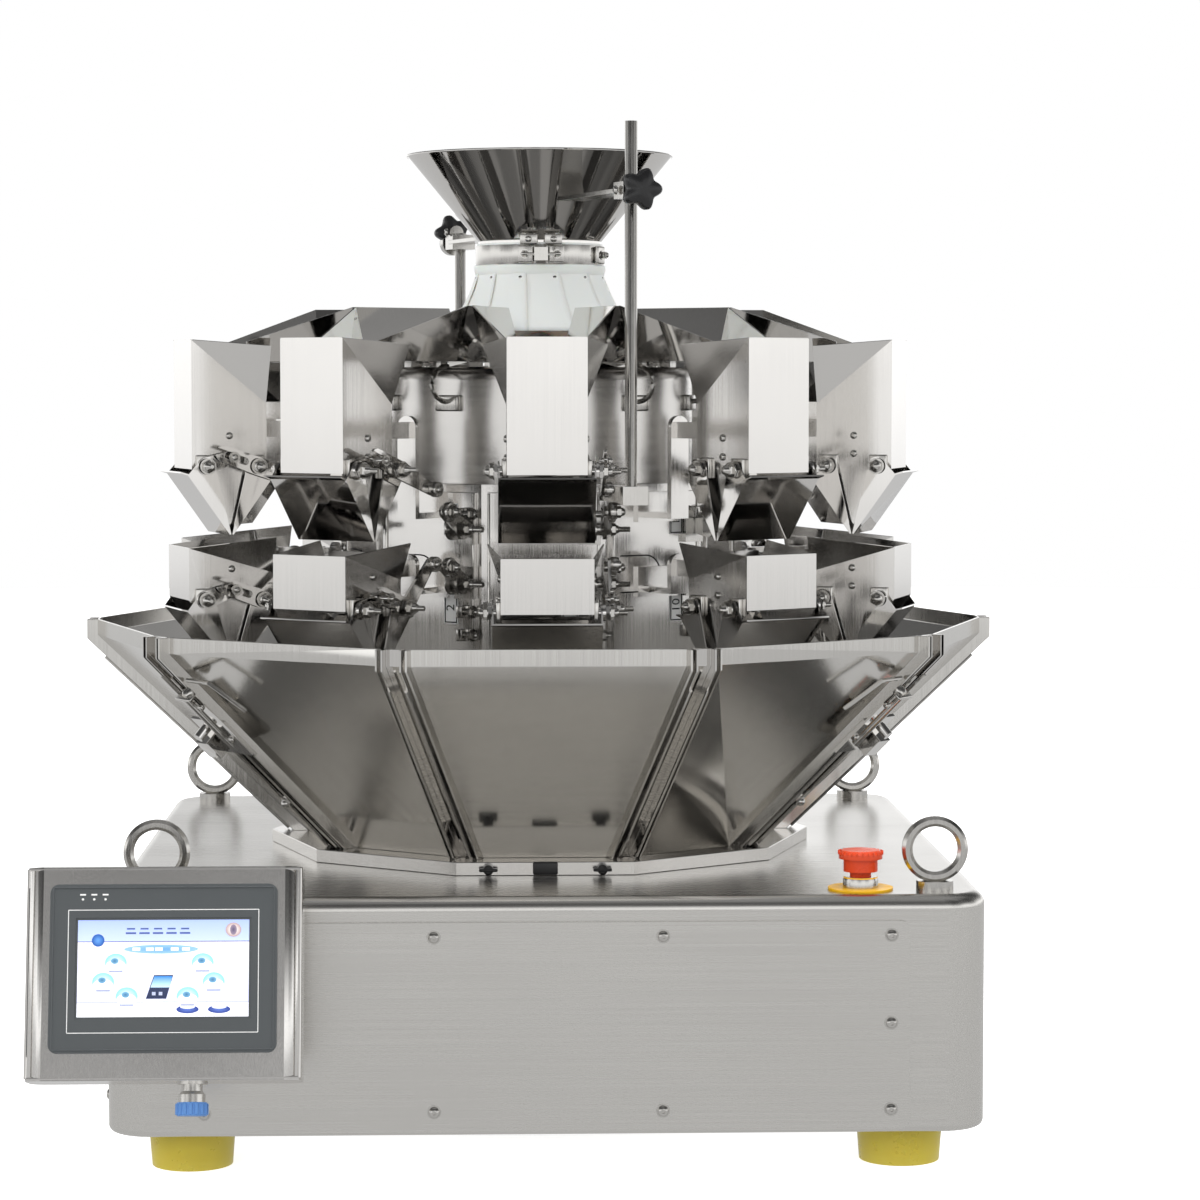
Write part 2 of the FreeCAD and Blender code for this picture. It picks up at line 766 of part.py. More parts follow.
def funnel_clamp(z):
    """Plate from the funnel to a rod, with the block that grips the rod."""
    start = funnel_outside(z) - 6
    plate_bar = block(start, rod_seat, -14, 14, z - clamp_plate / 2, z + clamp_plate / 2)
    grip = block(rod_seat - clamp_size / 2, rod_seat + clamp_size / 2, -clamp_size / 2,
                 clamp_size / 2, z - clamp_height / 2, z + clamp_height / 2)
    knob = Part.makeCylinder(3, 12, at(rod_seat + clamp_size / 2, 0, z), Vector(0, -1, 0))
    head = Part.makeCylinder(13.5, 12, at(rod_seat + clamp_size / 2 + 8, 0, z), Vector(0, -1, 0))
    bore = Part.makeCylinder(rod_radius + slide_fit, 100, at(rod_seat, 0, z - 50))
    return joined([plate_bar, grip, knob, head]).cut(bore)


def funnel_clamps():
    cone = Part.makeCone(collar_radius, funnel_radius, funnel_top - collar_high,
                         Vector(0, 0, collar_high))
    seam = head_angle(0.5)
    right = turned(funnel_clamp(collar_high + right_clamp_rise), seam).cut(cone)
    left = turned(funnel_clamp(collar_high + left_clamp_rise), seam + 180).cut(cone)
    return Part.makeCompound([right, left])


def funnel_rod(top):
    corner = column_apothem / math.cos(math.radians(head_angle(0.5)))
    low = column_top - rod_foot_height
    rod = Part.makeCylinder(rod_radius, top - low + 1, at(rod_seat, 0, low - 1))
    arm = block(corner - 20, rod_seat, -6, 6, low, column_top - 4)
    foot_block = block(rod_seat - 13, rod_seat + 13, -13, 13, low - 2, column_top)
    return joined([rod, arm, foot_block])


def funnel_rods():
    seam = head_angle(0.5)
    column = [drive_column(), drive_covers()]
    return Part.makeCompound([turned(funnel_rod(right_rod_top), seam).cut(column),
                              turned(funnel_rod(left_rod_top), seam + 180).cut(column)])


# ---- collecting chute ----

def chute_line():
    low = base_top + ring_height
    return [(chute_low_apothem, low), (rim_apothem, rim_top - rim_band), (rim_apothem, rim_top)]


def chute_ring():
    low = base_top
    outer = decagon(chute_low_apothem + ring_width, low, low + ring_height)
    return outer.cut(decagon(chute_low_apothem, low, low + ring_height))


def chute_panel():
    low, high = base_top, rim_top
    wide = rim_apothem * 0.4
    skin = plate(sheet_outline(chute_line(), chute_sheet), -wide, wide)
    deep = plate(sheet_outline(chute_line(), flange_depth), -wide, wide)
    room = head_room(seam_half, low, high)
    flanges = deep.common(room.cut(head_room(seam_half + chute_sheet, low, high)))
    trim = block(0, base_width, -wide, wide, low + ring_height, high)
    return joined([skin.common(room), flanges]).common(trim)


def chute_panels():
    return round_all(chute_panel())


def chute_seam():
    """Channel that closes the gap between two panels, drawn in the corner plane."""
    widen = 1 / math.cos(math.radians(head_angle(0.5)))
    line = [(u * widen - seam_draw, z) for u, z in chute_line()]
    web = plate(sheet_outline(line, chute_sheet), -channel_half, channel_half)
    legs = plate(sheet_outline(line, flange_depth), -channel_half, channel_half)
    hollow = plate(sheet_outline(line, flange_depth + 2),
                   -channel_half + chute_sheet, channel_half - chute_sheet)
    low = base_top + ring_height
    trim = block(0, base_width, -channel_half, channel_half, low, rim_top)
    return joined([web, legs.cut(hollow)]).common(trim)


def chute_latch(side):
    """Toggle latch across an opening seam: plate on the flanges, catch, hinged plate and stud."""
    widen = 1 / math.cos(math.radians(head_angle(0.5)))
    (low_u, low_z), (high_u, high_z) = chute_line()[:2]
    start_u = low_u * widen - seam_draw
    rise, run = high_z - low_z, (high_u - low_u) * widen
    place = math.hypot(rise, run) * latch_rise
    deep = flange_depth + latch_seat
    top = deep + chute_sheet + 1
    wide = latch_width
    shapes = [block(deep, top, -wide, wide, place, place + latch_plate),
              block(top, top + latch_block, -wide, 8 - wide / 2, place + 8, place + 30),
              block(top, top + chute_sheet, wide / 4, wide, place + 4, place + latch_leaf),
              Part.makeCylinder(latch_stud, latch_block, at(top, -wide / 2, place + 38),
                                Vector(0, -1, 0))]
    whole = joined(shapes)
    if side < 0:
        whole = whole.mirror(Vector(0, 0, 0), Vector(1, 0, 0))
    whole.rotate(Vector(0, 0, 0), Vector(1, 0, 0), math.degrees(math.atan2(run, rise)))
    whole.translate(at(start_u, 0, low_z))
    return whole


def chute_latches():
    return Part.makeCompound([turned(chute_latch(1 if corner > head_count / 2 else -1),
                                     head_angle(corner)) for corner in latch_corners])


def chute_seams():
    return round_all(chute_seam(), head_angle(0.5))


def save(shape, node):
    shape.exportStep("parts/" + node + ".step")
    print(node, len(shape.Solids), "solids", round(shape.Volume / 1000), "cm3", shape.isValid())


def main():
    os.makedirs("parts", exist_ok=True)
    save(base_cabinet(), "base_cabinet")
    save(cabinet_covers(), "cabinet_covers")
    save(at_corners(foot_spread, foot), "feet")
    save(at_corners(eye_spread, lifting_eye), "lifting_eyes")
    save(emergency_stop_base(), "emergency_stop_base")
    save(emergency_stop_button(), "emergency_stop_button")
    save(control_box(), "control_box")
    save(touch_screen(), "touch_screen")
    save(control_box_arm(), "control_box_arm")
    save(connector_cap(), "connector_cap")
    save(pedestal(), "pedestal")
    save(drive_column(), "drive_column")
    save(drive_covers(), "drive_covers")
    save(drive_cranks(), "drive_cranks")
    save(vibrator_drum(), "vibrator_drum")
    save(round_all(pan_mount()), "pan_mounts")
    save(round_all(feeder_pan()), "feeder_pans")
    save(top_cone(), "top_cone")
    save(petal_skirt(), "petal_skirt")
    save(infeed_funnel(), "infeed_funnel")
    save(funnel_collar(), "funnel_collar")
    save(funnel_clamps(), "funnel_clamps")
    save(funnel_rods(), "funnel_rods")
    save(chute_ring(), "chute_ring")
    save(chute_panels(), "chute_panels")
    save(chute_seams(), "chute_seams")
    save(chute_latches(), "chute_latches")
    save(round_all(hopper(feed)), "feed_hoppers")
    save(round_all(hopper(weigh)), "weigh_hoppers")
    save(rear_head_doors(), "rear_head_doors")
    for h, kind in ((feed, "feed"), (weigh, "weigh")):
        front, rear = front_door(h), rear_door(h)
        for place, head in working_heads.items():
            save(turned(front, head_angle(head)), kind + "_door_front_" + place)
            save(turned(rear, head_angle(head)), kind + "_door_rear_" + place)


main()
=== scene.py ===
import math
import bmesh
import bpy
import numpy as np
from mathutils import Matrix, Vector


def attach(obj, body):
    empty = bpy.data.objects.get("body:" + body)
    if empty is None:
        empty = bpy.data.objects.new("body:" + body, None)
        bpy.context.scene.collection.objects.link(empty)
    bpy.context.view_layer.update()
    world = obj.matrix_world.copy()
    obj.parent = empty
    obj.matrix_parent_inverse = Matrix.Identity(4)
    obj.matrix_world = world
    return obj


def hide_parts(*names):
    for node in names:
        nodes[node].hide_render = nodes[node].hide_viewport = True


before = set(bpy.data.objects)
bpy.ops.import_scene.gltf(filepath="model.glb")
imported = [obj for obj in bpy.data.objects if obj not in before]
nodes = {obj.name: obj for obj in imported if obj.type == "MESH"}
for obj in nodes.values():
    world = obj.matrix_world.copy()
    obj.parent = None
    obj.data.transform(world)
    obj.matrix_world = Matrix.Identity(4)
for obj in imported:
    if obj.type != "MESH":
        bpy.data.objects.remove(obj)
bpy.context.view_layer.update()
scene = bpy.context.scene
mm = 0.001
headStep = math.radians(36)
print("frame loaded:", len(nodes), "nodes")


# ---- shapes from arrays ----

def gridPart(points, wrapU=False, wrapV=False):
    # quads between neighbours of a (rows, columns, 3) array of points
    rows, columns = points.shape[:2]
    i = np.arange(rows if wrapU else rows - 1)[:, None]
    j = np.arange(columns if wrapV else columns - 1)[None, :]
    nextI, nextJ = (i + 1) % rows, (j + 1) % columns
    corners = (i * columns + j, nextI * columns + j, nextI * columns + nextJ, i * columns + nextJ)
    quads = np.stack([np.broadcast_to(c, (i.size, j.size)) for c in corners], -1)
    return points.reshape(-1, 3), quads.reshape(-1, 4)


def lathePart(profile, segments=24):
    # a (radius, height) profile carried round the Z axis
    profile = np.array(profile, float)
    turn = np.linspace(0, 2 * math.pi, segments, endpoint=False)
    r, z = profile[:, 0][:, None], profile[:, 1][:, None]
    points = np.stack([r * np.cos(turn), r * np.sin(turn), z + 0 * turn], -1)
    return gridPart(points, wrapV=True)


def boxPart(low, high, round_=0.0, steps=3):
    # upright box: a rounded rectangle in plan, drawn in at the top and bottom edges by the same radius
    low, high = np.array(low, float), np.array(high, float)
    half, middle = (high - low) / 2, (high + low) / 2
    r = min(round_, half.min() * 0.98) if round_ else 0.0
    corner = np.linspace(0, math.pi / 2, steps + 1) if r else np.array([0.0])
    turn = np.concatenate([corner + k * math.pi / 2 for k in range(4)])
    cx = np.sign(np.cos(np.repeat(np.arange(4), len(corner)) * math.pi / 2 + math.pi / 4))
    cy = np.sign(np.sin(np.repeat(np.arange(4), len(corner)) * math.pi / 2 + math.pi / 4))
    rise = np.linspace(-math.pi / 2, 0, steps + 1) if r else np.array([0.0])
    reach = np.concatenate([r * np.cos(rise), r * np.cos(rise[::-1])])
    foot = r - half[2] + r * np.sin(rise)
    height = np.concatenate([foot, -foot[::-1]])
    x = cx * (half[0] - r) + reach[:, None] * np.cos(turn)
    y = cy * (half[1] - r) + reach[:, None] * np.sin(turn)
    z = height[:, None] + 0 * turn
    rings = np.stack([x, y, z], -1)
    cap = np.zeros((1, rings.shape[1], 3))
    cap[..., 2] = rings[0, 0, 2]
    capTop = cap.copy()
    capTop[..., 2] = rings[-1, 0, 2]
    return gridPart(np.concatenate([cap, rings, capTop]) + middle, wrapV=True)


def tubePart(path, radius, segments=12, closed=False):
    # a circle carried along a path, its frame set square to one fixed guide direction
    path = np.array(path, float)
    if closed:
        tangent = np.roll(path, -1, 0) - np.roll(path, 1, 0)
    else:
        tangent = np.gradient(path, axis=0)
    tangent /= np.linalg.norm(tangent, axis=1)[:, None]
    guide = np.array([0.13, 0.27, 0.95])
    side = np.cross(tangent, guide)
    side /= np.linalg.norm(side, axis=1)[:, None]
    other = np.cross(tangent, side)
    turn = np.linspace(0, 2 * math.pi, segments, endpoint=False)
    radius = np.broadcast_to(np.array(radius, float), (len(path),))[:, None, None]
    rings = path[:, None] + radius * (side[:, None] * np.cos(turn)[:, None]
                                      + other[:, None] * np.sin(turn)[:, None])
    if not closed:
        rings = np.concatenate([np.broadcast_to(path[0], rings[:1].shape), rings,
                                np.broadcast_to(path[-1], rings[:1].shape)])
    return gridPart(rings, wrapU=closed, wrapV=True)


def placed(part, *matrices):
    # copies of a part, one for each matrix, as one part
    points, quads = part
    flat = np.concatenate([points, np.ones((len(points), 1))], 1)
    copies = [(flat @ np.array(m).T)[:, :3] for m in matrices]
    steps = np.arange(len(matrices))[:, None, None] * len(points)
    return np.concatenate(copies), (quads[None] + steps).reshape(-1, 4)


def joinParts(parts):
    points, quads, start = [], [], 0
    for p, q in parts:
        points.append(p)
        quads.append(q + start)
        start += len(p)
    return np.concatenate(points), np.concatenate(quads)


def makePiece(name, parts, material, body="frame", sharp=35):
    points, quads = joinParts(parts)
    mesh = bpy.data.meshes.new(name)
    mesh.from_pydata(points, [], quads)
    work = bmesh.new()
    work.from_mesh(mesh)
    bmesh.ops.remove_doubles(work, verts=work.verts, dist=2e-6)
    bmesh.ops.dissolve_degenerate(work, edges=work.edges, dist=1e-7)
    bmesh.ops.recalc_face_normals(work, faces=work.faces)
    work.to_mesh(mesh)
    work.free()
    mesh.shade_smooth()
    mesh.set_sharp_from_angle(angle=math.radians(sharp))
    mesh.materials.append(material)
    piece = bpy.data.objects.new(name, mesh)
    scene.collection.objects.link(piece)
    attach(piece, body)
    return piece


def shift(x, y, z):
    return Matrix.Translation((x, y, z))


def spin(angle, axis="Z"):
    return Matrix.Rotation(angle, 4, axis)


def headPlace(head):
    # carries a front-head shape to its head; a head's u runs along -Y, v along X
    return spin(head * headStep)


# ---- materials ----

def linear(code):
    # sRGB hex to linear colour
    parts = [int(code[i:i + 2], 16) / 255 for i in (1, 3, 5)]
    return [c / 12.92 if c <= 0.04045 else ((c + 0.055) / 1.055) ** 2.4 for c in parts] + [1.0]


def addNode(tree, kind, settings=None, links=None):
    # one node: settings go to its sockets or its own values, links to {socket: (node, output)}
    node = tree.nodes.new(kind)
    for key, value in (settings or {}).items():
        if isinstance(key, int) or key in node.inputs:
            node.inputs[key].default_value = value
        else:
            setattr(node, key, value)
    for key, (source, output) in (links or {}).items():
        tree.links.new(source.outputs[output], node.inputs[key])
    return node


def newMaterial(name, settings):
    material = bpy.data.materials.new(name)
    material.use_nodes = True
    tree = material.node_tree
    shader = tree.nodes["Principled BSDF"]
    for key, value in settings.items():
        shader.inputs[key].default_value = value
    place = addNode(tree, "ShaderNodeTexCoord")
    return material, tree, shader, place


def ramp(tree, source, output, low, high, fromLow=0.3, fromHigh=0.7):
    return addNode(tree, "ShaderNodeMapRange",
                   {"From Min": fromLow, "From Max": fromHigh, "To Min": low, "To Max": high},
                   {"Value": (source, output)})


def steelMaterial(name, spec):
    # stainless sheet: fine grain lines from the belt, a slow ripple of the rolled sheet, patchy polish
    material, tree, shader, place = newMaterial(name, {"Metallic": 1.0})
    coarse = [spec["long"] if axis in spec["grain"] else 1000 / spec["lineMm"] for axis in "XYZ"]
    stretch = addNode(tree, "ShaderNodeMapping", {"Scale": coarse}, {"Vector": (place, "Object")})
    lines = addNode(tree, "ShaderNodeTexNoise", {"Scale": 1.0, "Detail": 3.0, "Roughness": 0.6},
                    {"Vector": (stretch, "Vector")})
    patches = addNode(tree, "ShaderNodeTexNoise", {"Scale": spec["patch"], "Detail": 2.0},
                      {"Vector": (place, "Object")})
    both = addNode(tree, "ShaderNodeMath", {"operation": "MULTIPLY_ADD", 1: 0.35},
                   {0: (patches, "Fac"), 2: (lines, "Fac")})
    rough = ramp(tree, both, "Value", spec["smooth"], spec["dull"], 0.45, 0.9)
    tree.links.new(rough.outputs["Result"], shader.inputs["Roughness"])
    tint = addNode(tree, "ShaderNodeMix", {"data_type": "RGBA"}, {"Factor": (lines, "Fac")})
    tint.inputs["A"].default_value = linear(spec["dark"])
    tint.inputs["B"].default_value = linear(spec["light"])
    tree.links.new(tint.outputs["Result"], shader.inputs["Base Color"])
    ripple = addNode(tree, "ShaderNodeTexNoise", {"Scale": spec["ripple"], "Detail": 1.0},
                     {"Vector": (place, "Object")})
    soft = addNode(tree, "ShaderNodeBump", {"Strength": 1.0, "Distance": spec["rippleMm"] * mm},
                   {"Height": (ripple, "Fac")})
    fine = addNode(tree, "ShaderNodeBump", {"Strength": 1.0, "Distance": spec["lineDepthMm"] * mm},
                   {"Height": (lines, "Fac"), "Normal": (soft, "Normal")})
    tree.links.new(fine.outputs["Normal"], shader.inputs["Normal"])
    return material


steels = {
    # grain runs along the named axes; lineMm is the spacing of the grain lines
    "satinCabinetSteel": {"grain": "X", "long": 3.0, "lineMm": 0.9, "patch": 6, "smooth": 0.2,
                          "dull": 0.3, "dark": "#cfcdc9", "light": "#d8d6d2", "ripple": 4,
                          "rippleMm": 0.4, "lineDepthMm": 0.0007},
    "satinHopperSteel": {"grain": "Z", "long": 4.0, "lineMm": 0.7, "patch": 9, "smooth": 0.1,
                         "dull": 0.24, "dark": "#d8d6d3", "light": "#e2e0dd", "ripple": 9,
                         "rippleMm": 0.15, "lineDepthMm": 0.002},
    "mirrorSheetSteel": {"grain": "Z", "long": 5.0, "lineMm": 1.5, "patch": 8, "smooth": 0.03,
                         "dull": 0.09, "dark": "#d4d2cf", "light": "#dedcd9", "ripple": 9,
                         "rippleMm": 0.5, "lineDepthMm": 0.0004},
    "polishedChuteSteel": {"grain": "Z", "long": 3.0, "lineMm": 1.0, "patch": 7, "smooth": 0.1,
                           "dull": 0.2, "dark": "#d2d0cc", "light": "#dcdad6", "ripple": 6,
                           "rippleMm": 0.5, "lineDepthMm": 0.002},
    "satinDrumSteel": {"grain": "XY", "long": 3.0, "lineMm": 0.8, "patch": 8, "smooth": 0.2,
                       "dull": 0.27, "dark": "#d0cecb", "light": "#dad8d5", "ripple": 4,
                       "rippleMm": 0.1, "lineDepthMm": 0.0002},
    "turnedSteel": {"grain": "Z", "long": 60.0, "lineMm": 0.8, "patch": 60, "smooth": 0.12,
                    "dull": 0.26, "dark": "#b9b7b3", "light": "#d6d4d0", "ripple": 40,
                    "rippleMm": 0.05, "lineDepthMm": 0.003},
}
steel = {name: steelMaterial(name, spec) for name, spec in steels.items()}


def plasticMaterial(name, color, roughness, grainMm, depthMm, extra=None):
    # moulded plastic: fine leather-like texture of the mould and slight mottling
    settings = {"Base Color": linear(color), "Roughness": roughness, "IOR": 1.5}
    settings.update(extra or {})
    material, tree, shader, place = newMaterial(name, settings)
    grain = addNode(tree, "ShaderNodeTexNoise", {"Scale": 1000 / grainMm, "Detail": 3.0},
                    {"Vector": (place, "Object")})
    bump = addNode(tree, "ShaderNodeBump", {"Distance": depthMm * mm},
                   {"Height": (grain, "Fac")})
    tree.links.new(bump.outputs["Normal"], shader.inputs["Normal"])
    wear = addNode(tree, "ShaderNodeTexNoise", {"Scale": 60, "Detail": 3.0},
                   {"Vector": (place, "Object")})
    rough = ramp(tree, wear, "Fac", roughness * 0.8, min(1, roughness * 1.25))
    tree.links.new(rough.outputs["Result"], shader.inputs["Roughness"])
    return material


castUrethane = plasticMaterial("castUrethane", "#d8c544", 0.32, 3.0, 0.05,
                               {"Subsurface Weight": 0.6, "Subsurface Radius": (0.02, 0.016, 0.004),
                                "Transmission Weight": 0.15})
yellowAbs = plasticMaterial("yellowAbs", "#f2b90f", 0.35, 1.2, 0.01)
redAbs = plasticMaterial("redAbs", "#dd4a22", 0.3, 1.2, 0.01)
bezelAbs = plasticMaterial("bezelAbs", "#4e5254", 0.42, 0.6, 0.02)
blueNylon = plasticMaterial("blueNylon", "#5f93d6", 0.38, 1.0, 0.01)
petalPlastic = plasticMaterial("petalPlastic", "#f1efe9", 0.38, 2.0, 0.02,
                                {"Subsurface Weight": 0.15})
whiteVinyl = plasticMaterial("whiteVinyl", "#f1f1ef", 0.4, 1.0, 0.005)
blackInk = plasticMaterial("blackInk", "#161616", 0.45, 1.0, 0.005)
blackPhenolic = plasticMaterial("blackPhenolic", "#19191a", 0.34, 1.5, 0.02)


def displayMaterial():
    # the lit picture of the touch screen: its colours glow a little behind glass
    material, tree, shader, place = newMaterial("litDisplay", {"Roughness": 0.18, "IOR": 1.5,
                                                               "Emission Strength": 0.55})
    tone = addNode(tree, "ShaderNodeAttribute", {"attribute_name": "tone"})
    for socket in ("Base Color", "Emission Color"):
        tree.links.new(tone.outputs["Color"], shader.inputs[socket])
    return material


litDisplay = displayMaterial()
print("materials made")


# ---- finishes of the frame's own pieces ----

def softEdges(node, widthMm):
    # the folded and cut edges of real sheet are slightly round
    weld = node.modifiers.new("weld", "WELD")
    weld.merge_threshold = 1e-5
    bevel = node.modifiers.new("edges", "BEVEL")
    bevel.width = widthMm * mm
    bevel.segments = 2
    bevel.limit_method = "ANGLE"
    bevel.angle_limit = math.radians(40)
    bevel.harden_normals = False


def finish(node, material, edgeMm=0.0):
    piece = nodes[node]
    piece.data.materials.clear()
    piece.data.materials.append(material)
    if edgeMm:
        softEdges(piece, edgeMm)


finishes = {
    "base_cabinet": ("satinCabinetSteel", 0), "cabinet_covers": ("satinCabinetSteel", 0.8),
    "lifting_eyes": ("turnedSteel", 0), "control_box": ("satinHopperSteel", 0.6),
    "control_box_arm": ("satinHopperSteel", 0.5), "pedestal": ("satinDrumSteel", 0),
    "drive_column": ("satinHopperSteel", 0.6), "drive_covers": ("satinHopperSteel", 0.5),
    "drive_cranks": ("turnedSteel", 0.4), "vibrator_drum": ("satinDrumSteel", 0),
    "pan_mounts": ("turnedSteel", 0.4), "feeder_pans": ("mirrorSheetSteel", 0.3),
    "top_cone": ("mirrorSheetSteel", 0), "funnel_rods": ("turnedSteel", 0.5),
    "chute_ring": ("satinHopperSteel", 0.6), "chute_panels": ("polishedChuteSteel", 0.4),
    "chute_seams": ("mirrorSheetSteel", 0.4),
    "chute_latches": ("mirrorSheetSteel", 0.3), "feed_hoppers": ("satinHopperSteel", 0.4),
    "weigh_hoppers": ("satinHopperSteel", 0.4), "rear_head_doors": ("mirrorSheetSteel", 0.3),
    "infeed_funnel": ("mirrorSheetSteel", 0), "funnel_collar": ("turnedSteel", 0.3),
    "funnel_clamps": ("turnedSteel", 0.5)}
for node, (name, edge) in finishes.items():
    finish(node, steel[name], edge)
for node in nodes:
    if "_door_" in node:
        finish(node, steel["mirrorSheetSteel"], 0.3)
finish("feet", castUrethane, 1.0)
finish("emergency_stop_base", yellowAbs, 0.4)
finish("emergency_stop_button", redAbs, 0.5)
finish("touch_screen", bezelAbs, 0.8)
finish("connector_cap", blueNylon, 0.8)
finish("petal_skirt", petalPlastic, 0)
print("frame finishes set")


# ---- small pieces, drawn in millimetres in the front head's frame ----

toMetres = Matrix.Scale(mm, 4)
toRight, toLeft, toFront = spin(math.pi / 2, "Y"), spin(-math.pi / 2, "Y"), spin(math.pi / 2, "X")
allHeads, rearHeads = range(10), range(3, 8)
workingHeads = {"far_left": -2, "left": -1, "middle": 0, "right": 1, "far_right": 2}


def atHeads(parts, heads=allHeads, offset=0.0):
    # the parts at each head, in metres
    return placed(joinParts(parts), *[spin((h + offset) * headStep) @ toMetres for h in heads])


def capNut(size=6.2, segments=12):
    # washer, hexagon and dome, on the seat at height 0
    washer = lathePart([(0, 0), (size * 1.3, 0), (size * 1.3, 1), (0, 1)], segments * 2)
    hexagon = lathePart([(0, 1), (size * 1.08, 1), (size * 1.08, 4.4), (size * 0.92, 5), (0, 5)], 6)
    angles = np.linspace(0, math.pi / 2, 5)
    dome = lathePart(np.stack([size * 0.8 * np.cos(angles), 5 + size * 0.8 * np.sin(angles)], -1), segments)
    return joinParts([washer, hexagon, dome])


def buttonScrew(radius=5.0, segments=16):
    # low domed head with a hexagon socket
    angles = np.linspace(0, 1.15, 5)
    rim = np.stack([radius * np.cos(angles), 0.8 + 0.6 * radius * np.sin(angles)], -1)
    socket = [(0.38 * radius, rim[-1, 1]), (0.34 * radius, 1.2), (0, 1.2)]
    return lathePart([(0, 0), (radius, 0)] + rim.tolist() + socket, segments)


def screwedDisc(profile, thickness, screwRadius):
    # turned disc on its seat with a screw in its face
    return joinParts([lathePart(profile, 20), placed(buttonScrew(screwRadius), shift(0, 0, thickness))])


def studEnd(radius=2.6, length=9.0):
    # threaded end of a stud: rings a pitch apart
    pitch = 1.0
    z = np.arange(0, length, pitch / 2)
    r = radius - 0.35 * (np.arange(len(z)) % 2)
    profile = np.concatenate([[[0, 0]], np.stack([r, z], -1), [[radius * 0.7, length], [0, length]]])
    return lathePart(profile, 12)


hopperKinds = {
    # half width, hinge pin height, front and rear pin and lever tail along u, pin ends left and right
    "feed": {"half": 37.5, "pinZ": 654.0, "pins": (363.0, 313.0), "ends": (52.0, 60.0), "plain": 49.0,
             "stud": (338.0, 663.1, 58.5), "tail": (261.0, 634.0, 56.5)},
    "weigh": {"half": 43.5, "pinZ": 522.5, "pins": (366.0, 310.0), "ends": (58.0, 66.0), "plain": 55.0,
              "stud": (338.0, 532.7, 64.5), "tail": (272.0, 562.5, 62.5)}}
bearing = {"sink": 0.2, "thick": 4.2, "half": 9.0, "above": 11.0, "edge": 1.2}
cheekRivets = {"u": 338.0, "above": (12.0, 30.0), "radius": 3.6}
tailRoller = {"profile": [(0, 0), (7, 0), (7.5, 1), (7.5, 7), (7, 8), (0, 8)], "thick": 8.0, "screw": 4.0}
studKeeper = {"profile": [(0, 0), (5.4, 0), (5.4, 1.4), (0, 1.4)], "thick": 1.4, "screw": 3.2}
rearRoller = [(0, 0), (7.5, 0.5), (7.5, 7), (0, 8)]


def bearingBlock(h, u):
    # small block on the hopper's cheek round a hinge pin
    return boxPart((h["half"] - bearing["sink"], -u - bearing["half"], h["pinZ"] - bearing["half"]),
                   (h["half"] + bearing["thick"], bearing["half"] - u, h["pinZ"] + bearing["above"]),
                   bearing["edge"])


def hopperHardware():
    nut, screw, stud = capNut(), buttonScrew(cheekRivets["radius"]), studEnd()
    fixed = []
    for h in hopperKinds.values():
        for u, end in zip(h["pins"], h["ends"]):
            fixed.append(placed(nut, shift(end, -u, h["pinZ"]) @ toRight,
                                shift(-h["plain"], -u, h["pinZ"]) @ toLeft))
            fixed.append(placed(stud, shift(end + 8, -u, h["pinZ"]) @ toRight))
        blocks = joinParts([bearingBlock(h, u) for u in h["pins"]])
        fixed.append(placed(blocks, Matrix.Identity(4), Matrix.Diagonal((-1, 1, 1, 1))))
        for up in cheekRivets["above"]:
            for side, turn in ((1, toRight), (-1, toLeft)):
                spot = shift(side * h["half"], -cheekRivets["u"], h["pinZ"] + up)
                fixed.append(placed(screw, spot @ turn))
    makePiece("hopper_nuts", [atHeads(fixed)], steel["turnedSteel"])
    roller = screwedDisc(tailRoller["profile"], tailRoller["thick"], tailRoller["screw"])
    keeper = screwedDisc(studKeeper["profile"], studKeeper["thick"], studKeeper["screw"])
    for kind, h in hopperKinds.items():
        for place, head in workingHeads.items():
            for name, part, door, (u, z, x) in (("keeper", keeper, "front", h["stud"]),
                                                ("roller", roller, "rear", h["tail"])):
                seated = placed(part, shift(x, -u, z) @ toRight)
                makePiece(f"{kind}_{name}_{place}", [atHeads([seated], [head])], steel["turnedSteel"],
                          f"{kind}_door_{door}_{place}")


def rearLinks():
    # the heads at the back carry the same doors and levers as the front ones
    for kind in hopperKinds:
        for side in ("front", "rear"):
            source = nodes[f"{kind}_door_{side}_middle"]
            points = np.empty(len(source.data.vertices) * 3)
            source.data.vertices.foreach_get("co", points)
            faces = np.empty(len(source.data.loops), int)
            source.data.loops.foreach_get("vertex_index", faces)
            part = (points.reshape(-1, 3), faces.reshape(-1, 3))
            turned = placed(part, *[headPlace(h) for h in rearHeads])
            piece = makePiece(f"{kind}_rear_heads_{side}", [turned], steel["mirrorSheetSteel"])
            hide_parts("rear_head_doors")
            softEdges(piece, 0.3)
        h = hopperKinds[kind]
        u, z, x = h["stud"]
        tailU, tailZ, tailX = h["tail"]
        small = joinParts([placed(buttonScrew(4.6), shift(x, -u, z) @ toRight),
                           placed(lathePart(rearRoller, 20), shift(tailX, -tailU, tailZ) @ toRight)])
        makePiece(f"{kind}_rear_keepers", [atHeads([small], rearHeads)], steel["turnedSteel"])


crank = {"shafts": ((216.0, 594.0), (216.0, 540.5)), "rollers": ((246.0, 612.0), (246.0, 558.5)),
         "shaftEnd": 65.0, "rollerEnd": 69.0, "wheel": 8.0,
         "wheelProfile": [(5.5, 0), (9, 0.6), (9.6, 2), (9.6, 6), (9, 7.4), (5.5, 8)],
         "stops": ((198.0, 608.0), (196.0, 512.0), (196.0, 489.0)), "stopFoot": 44.0, "stopNut": 56.0,
         "stopRod": [(0, 0), (3.2, 0), (3.2, 22), (0, 22)]}


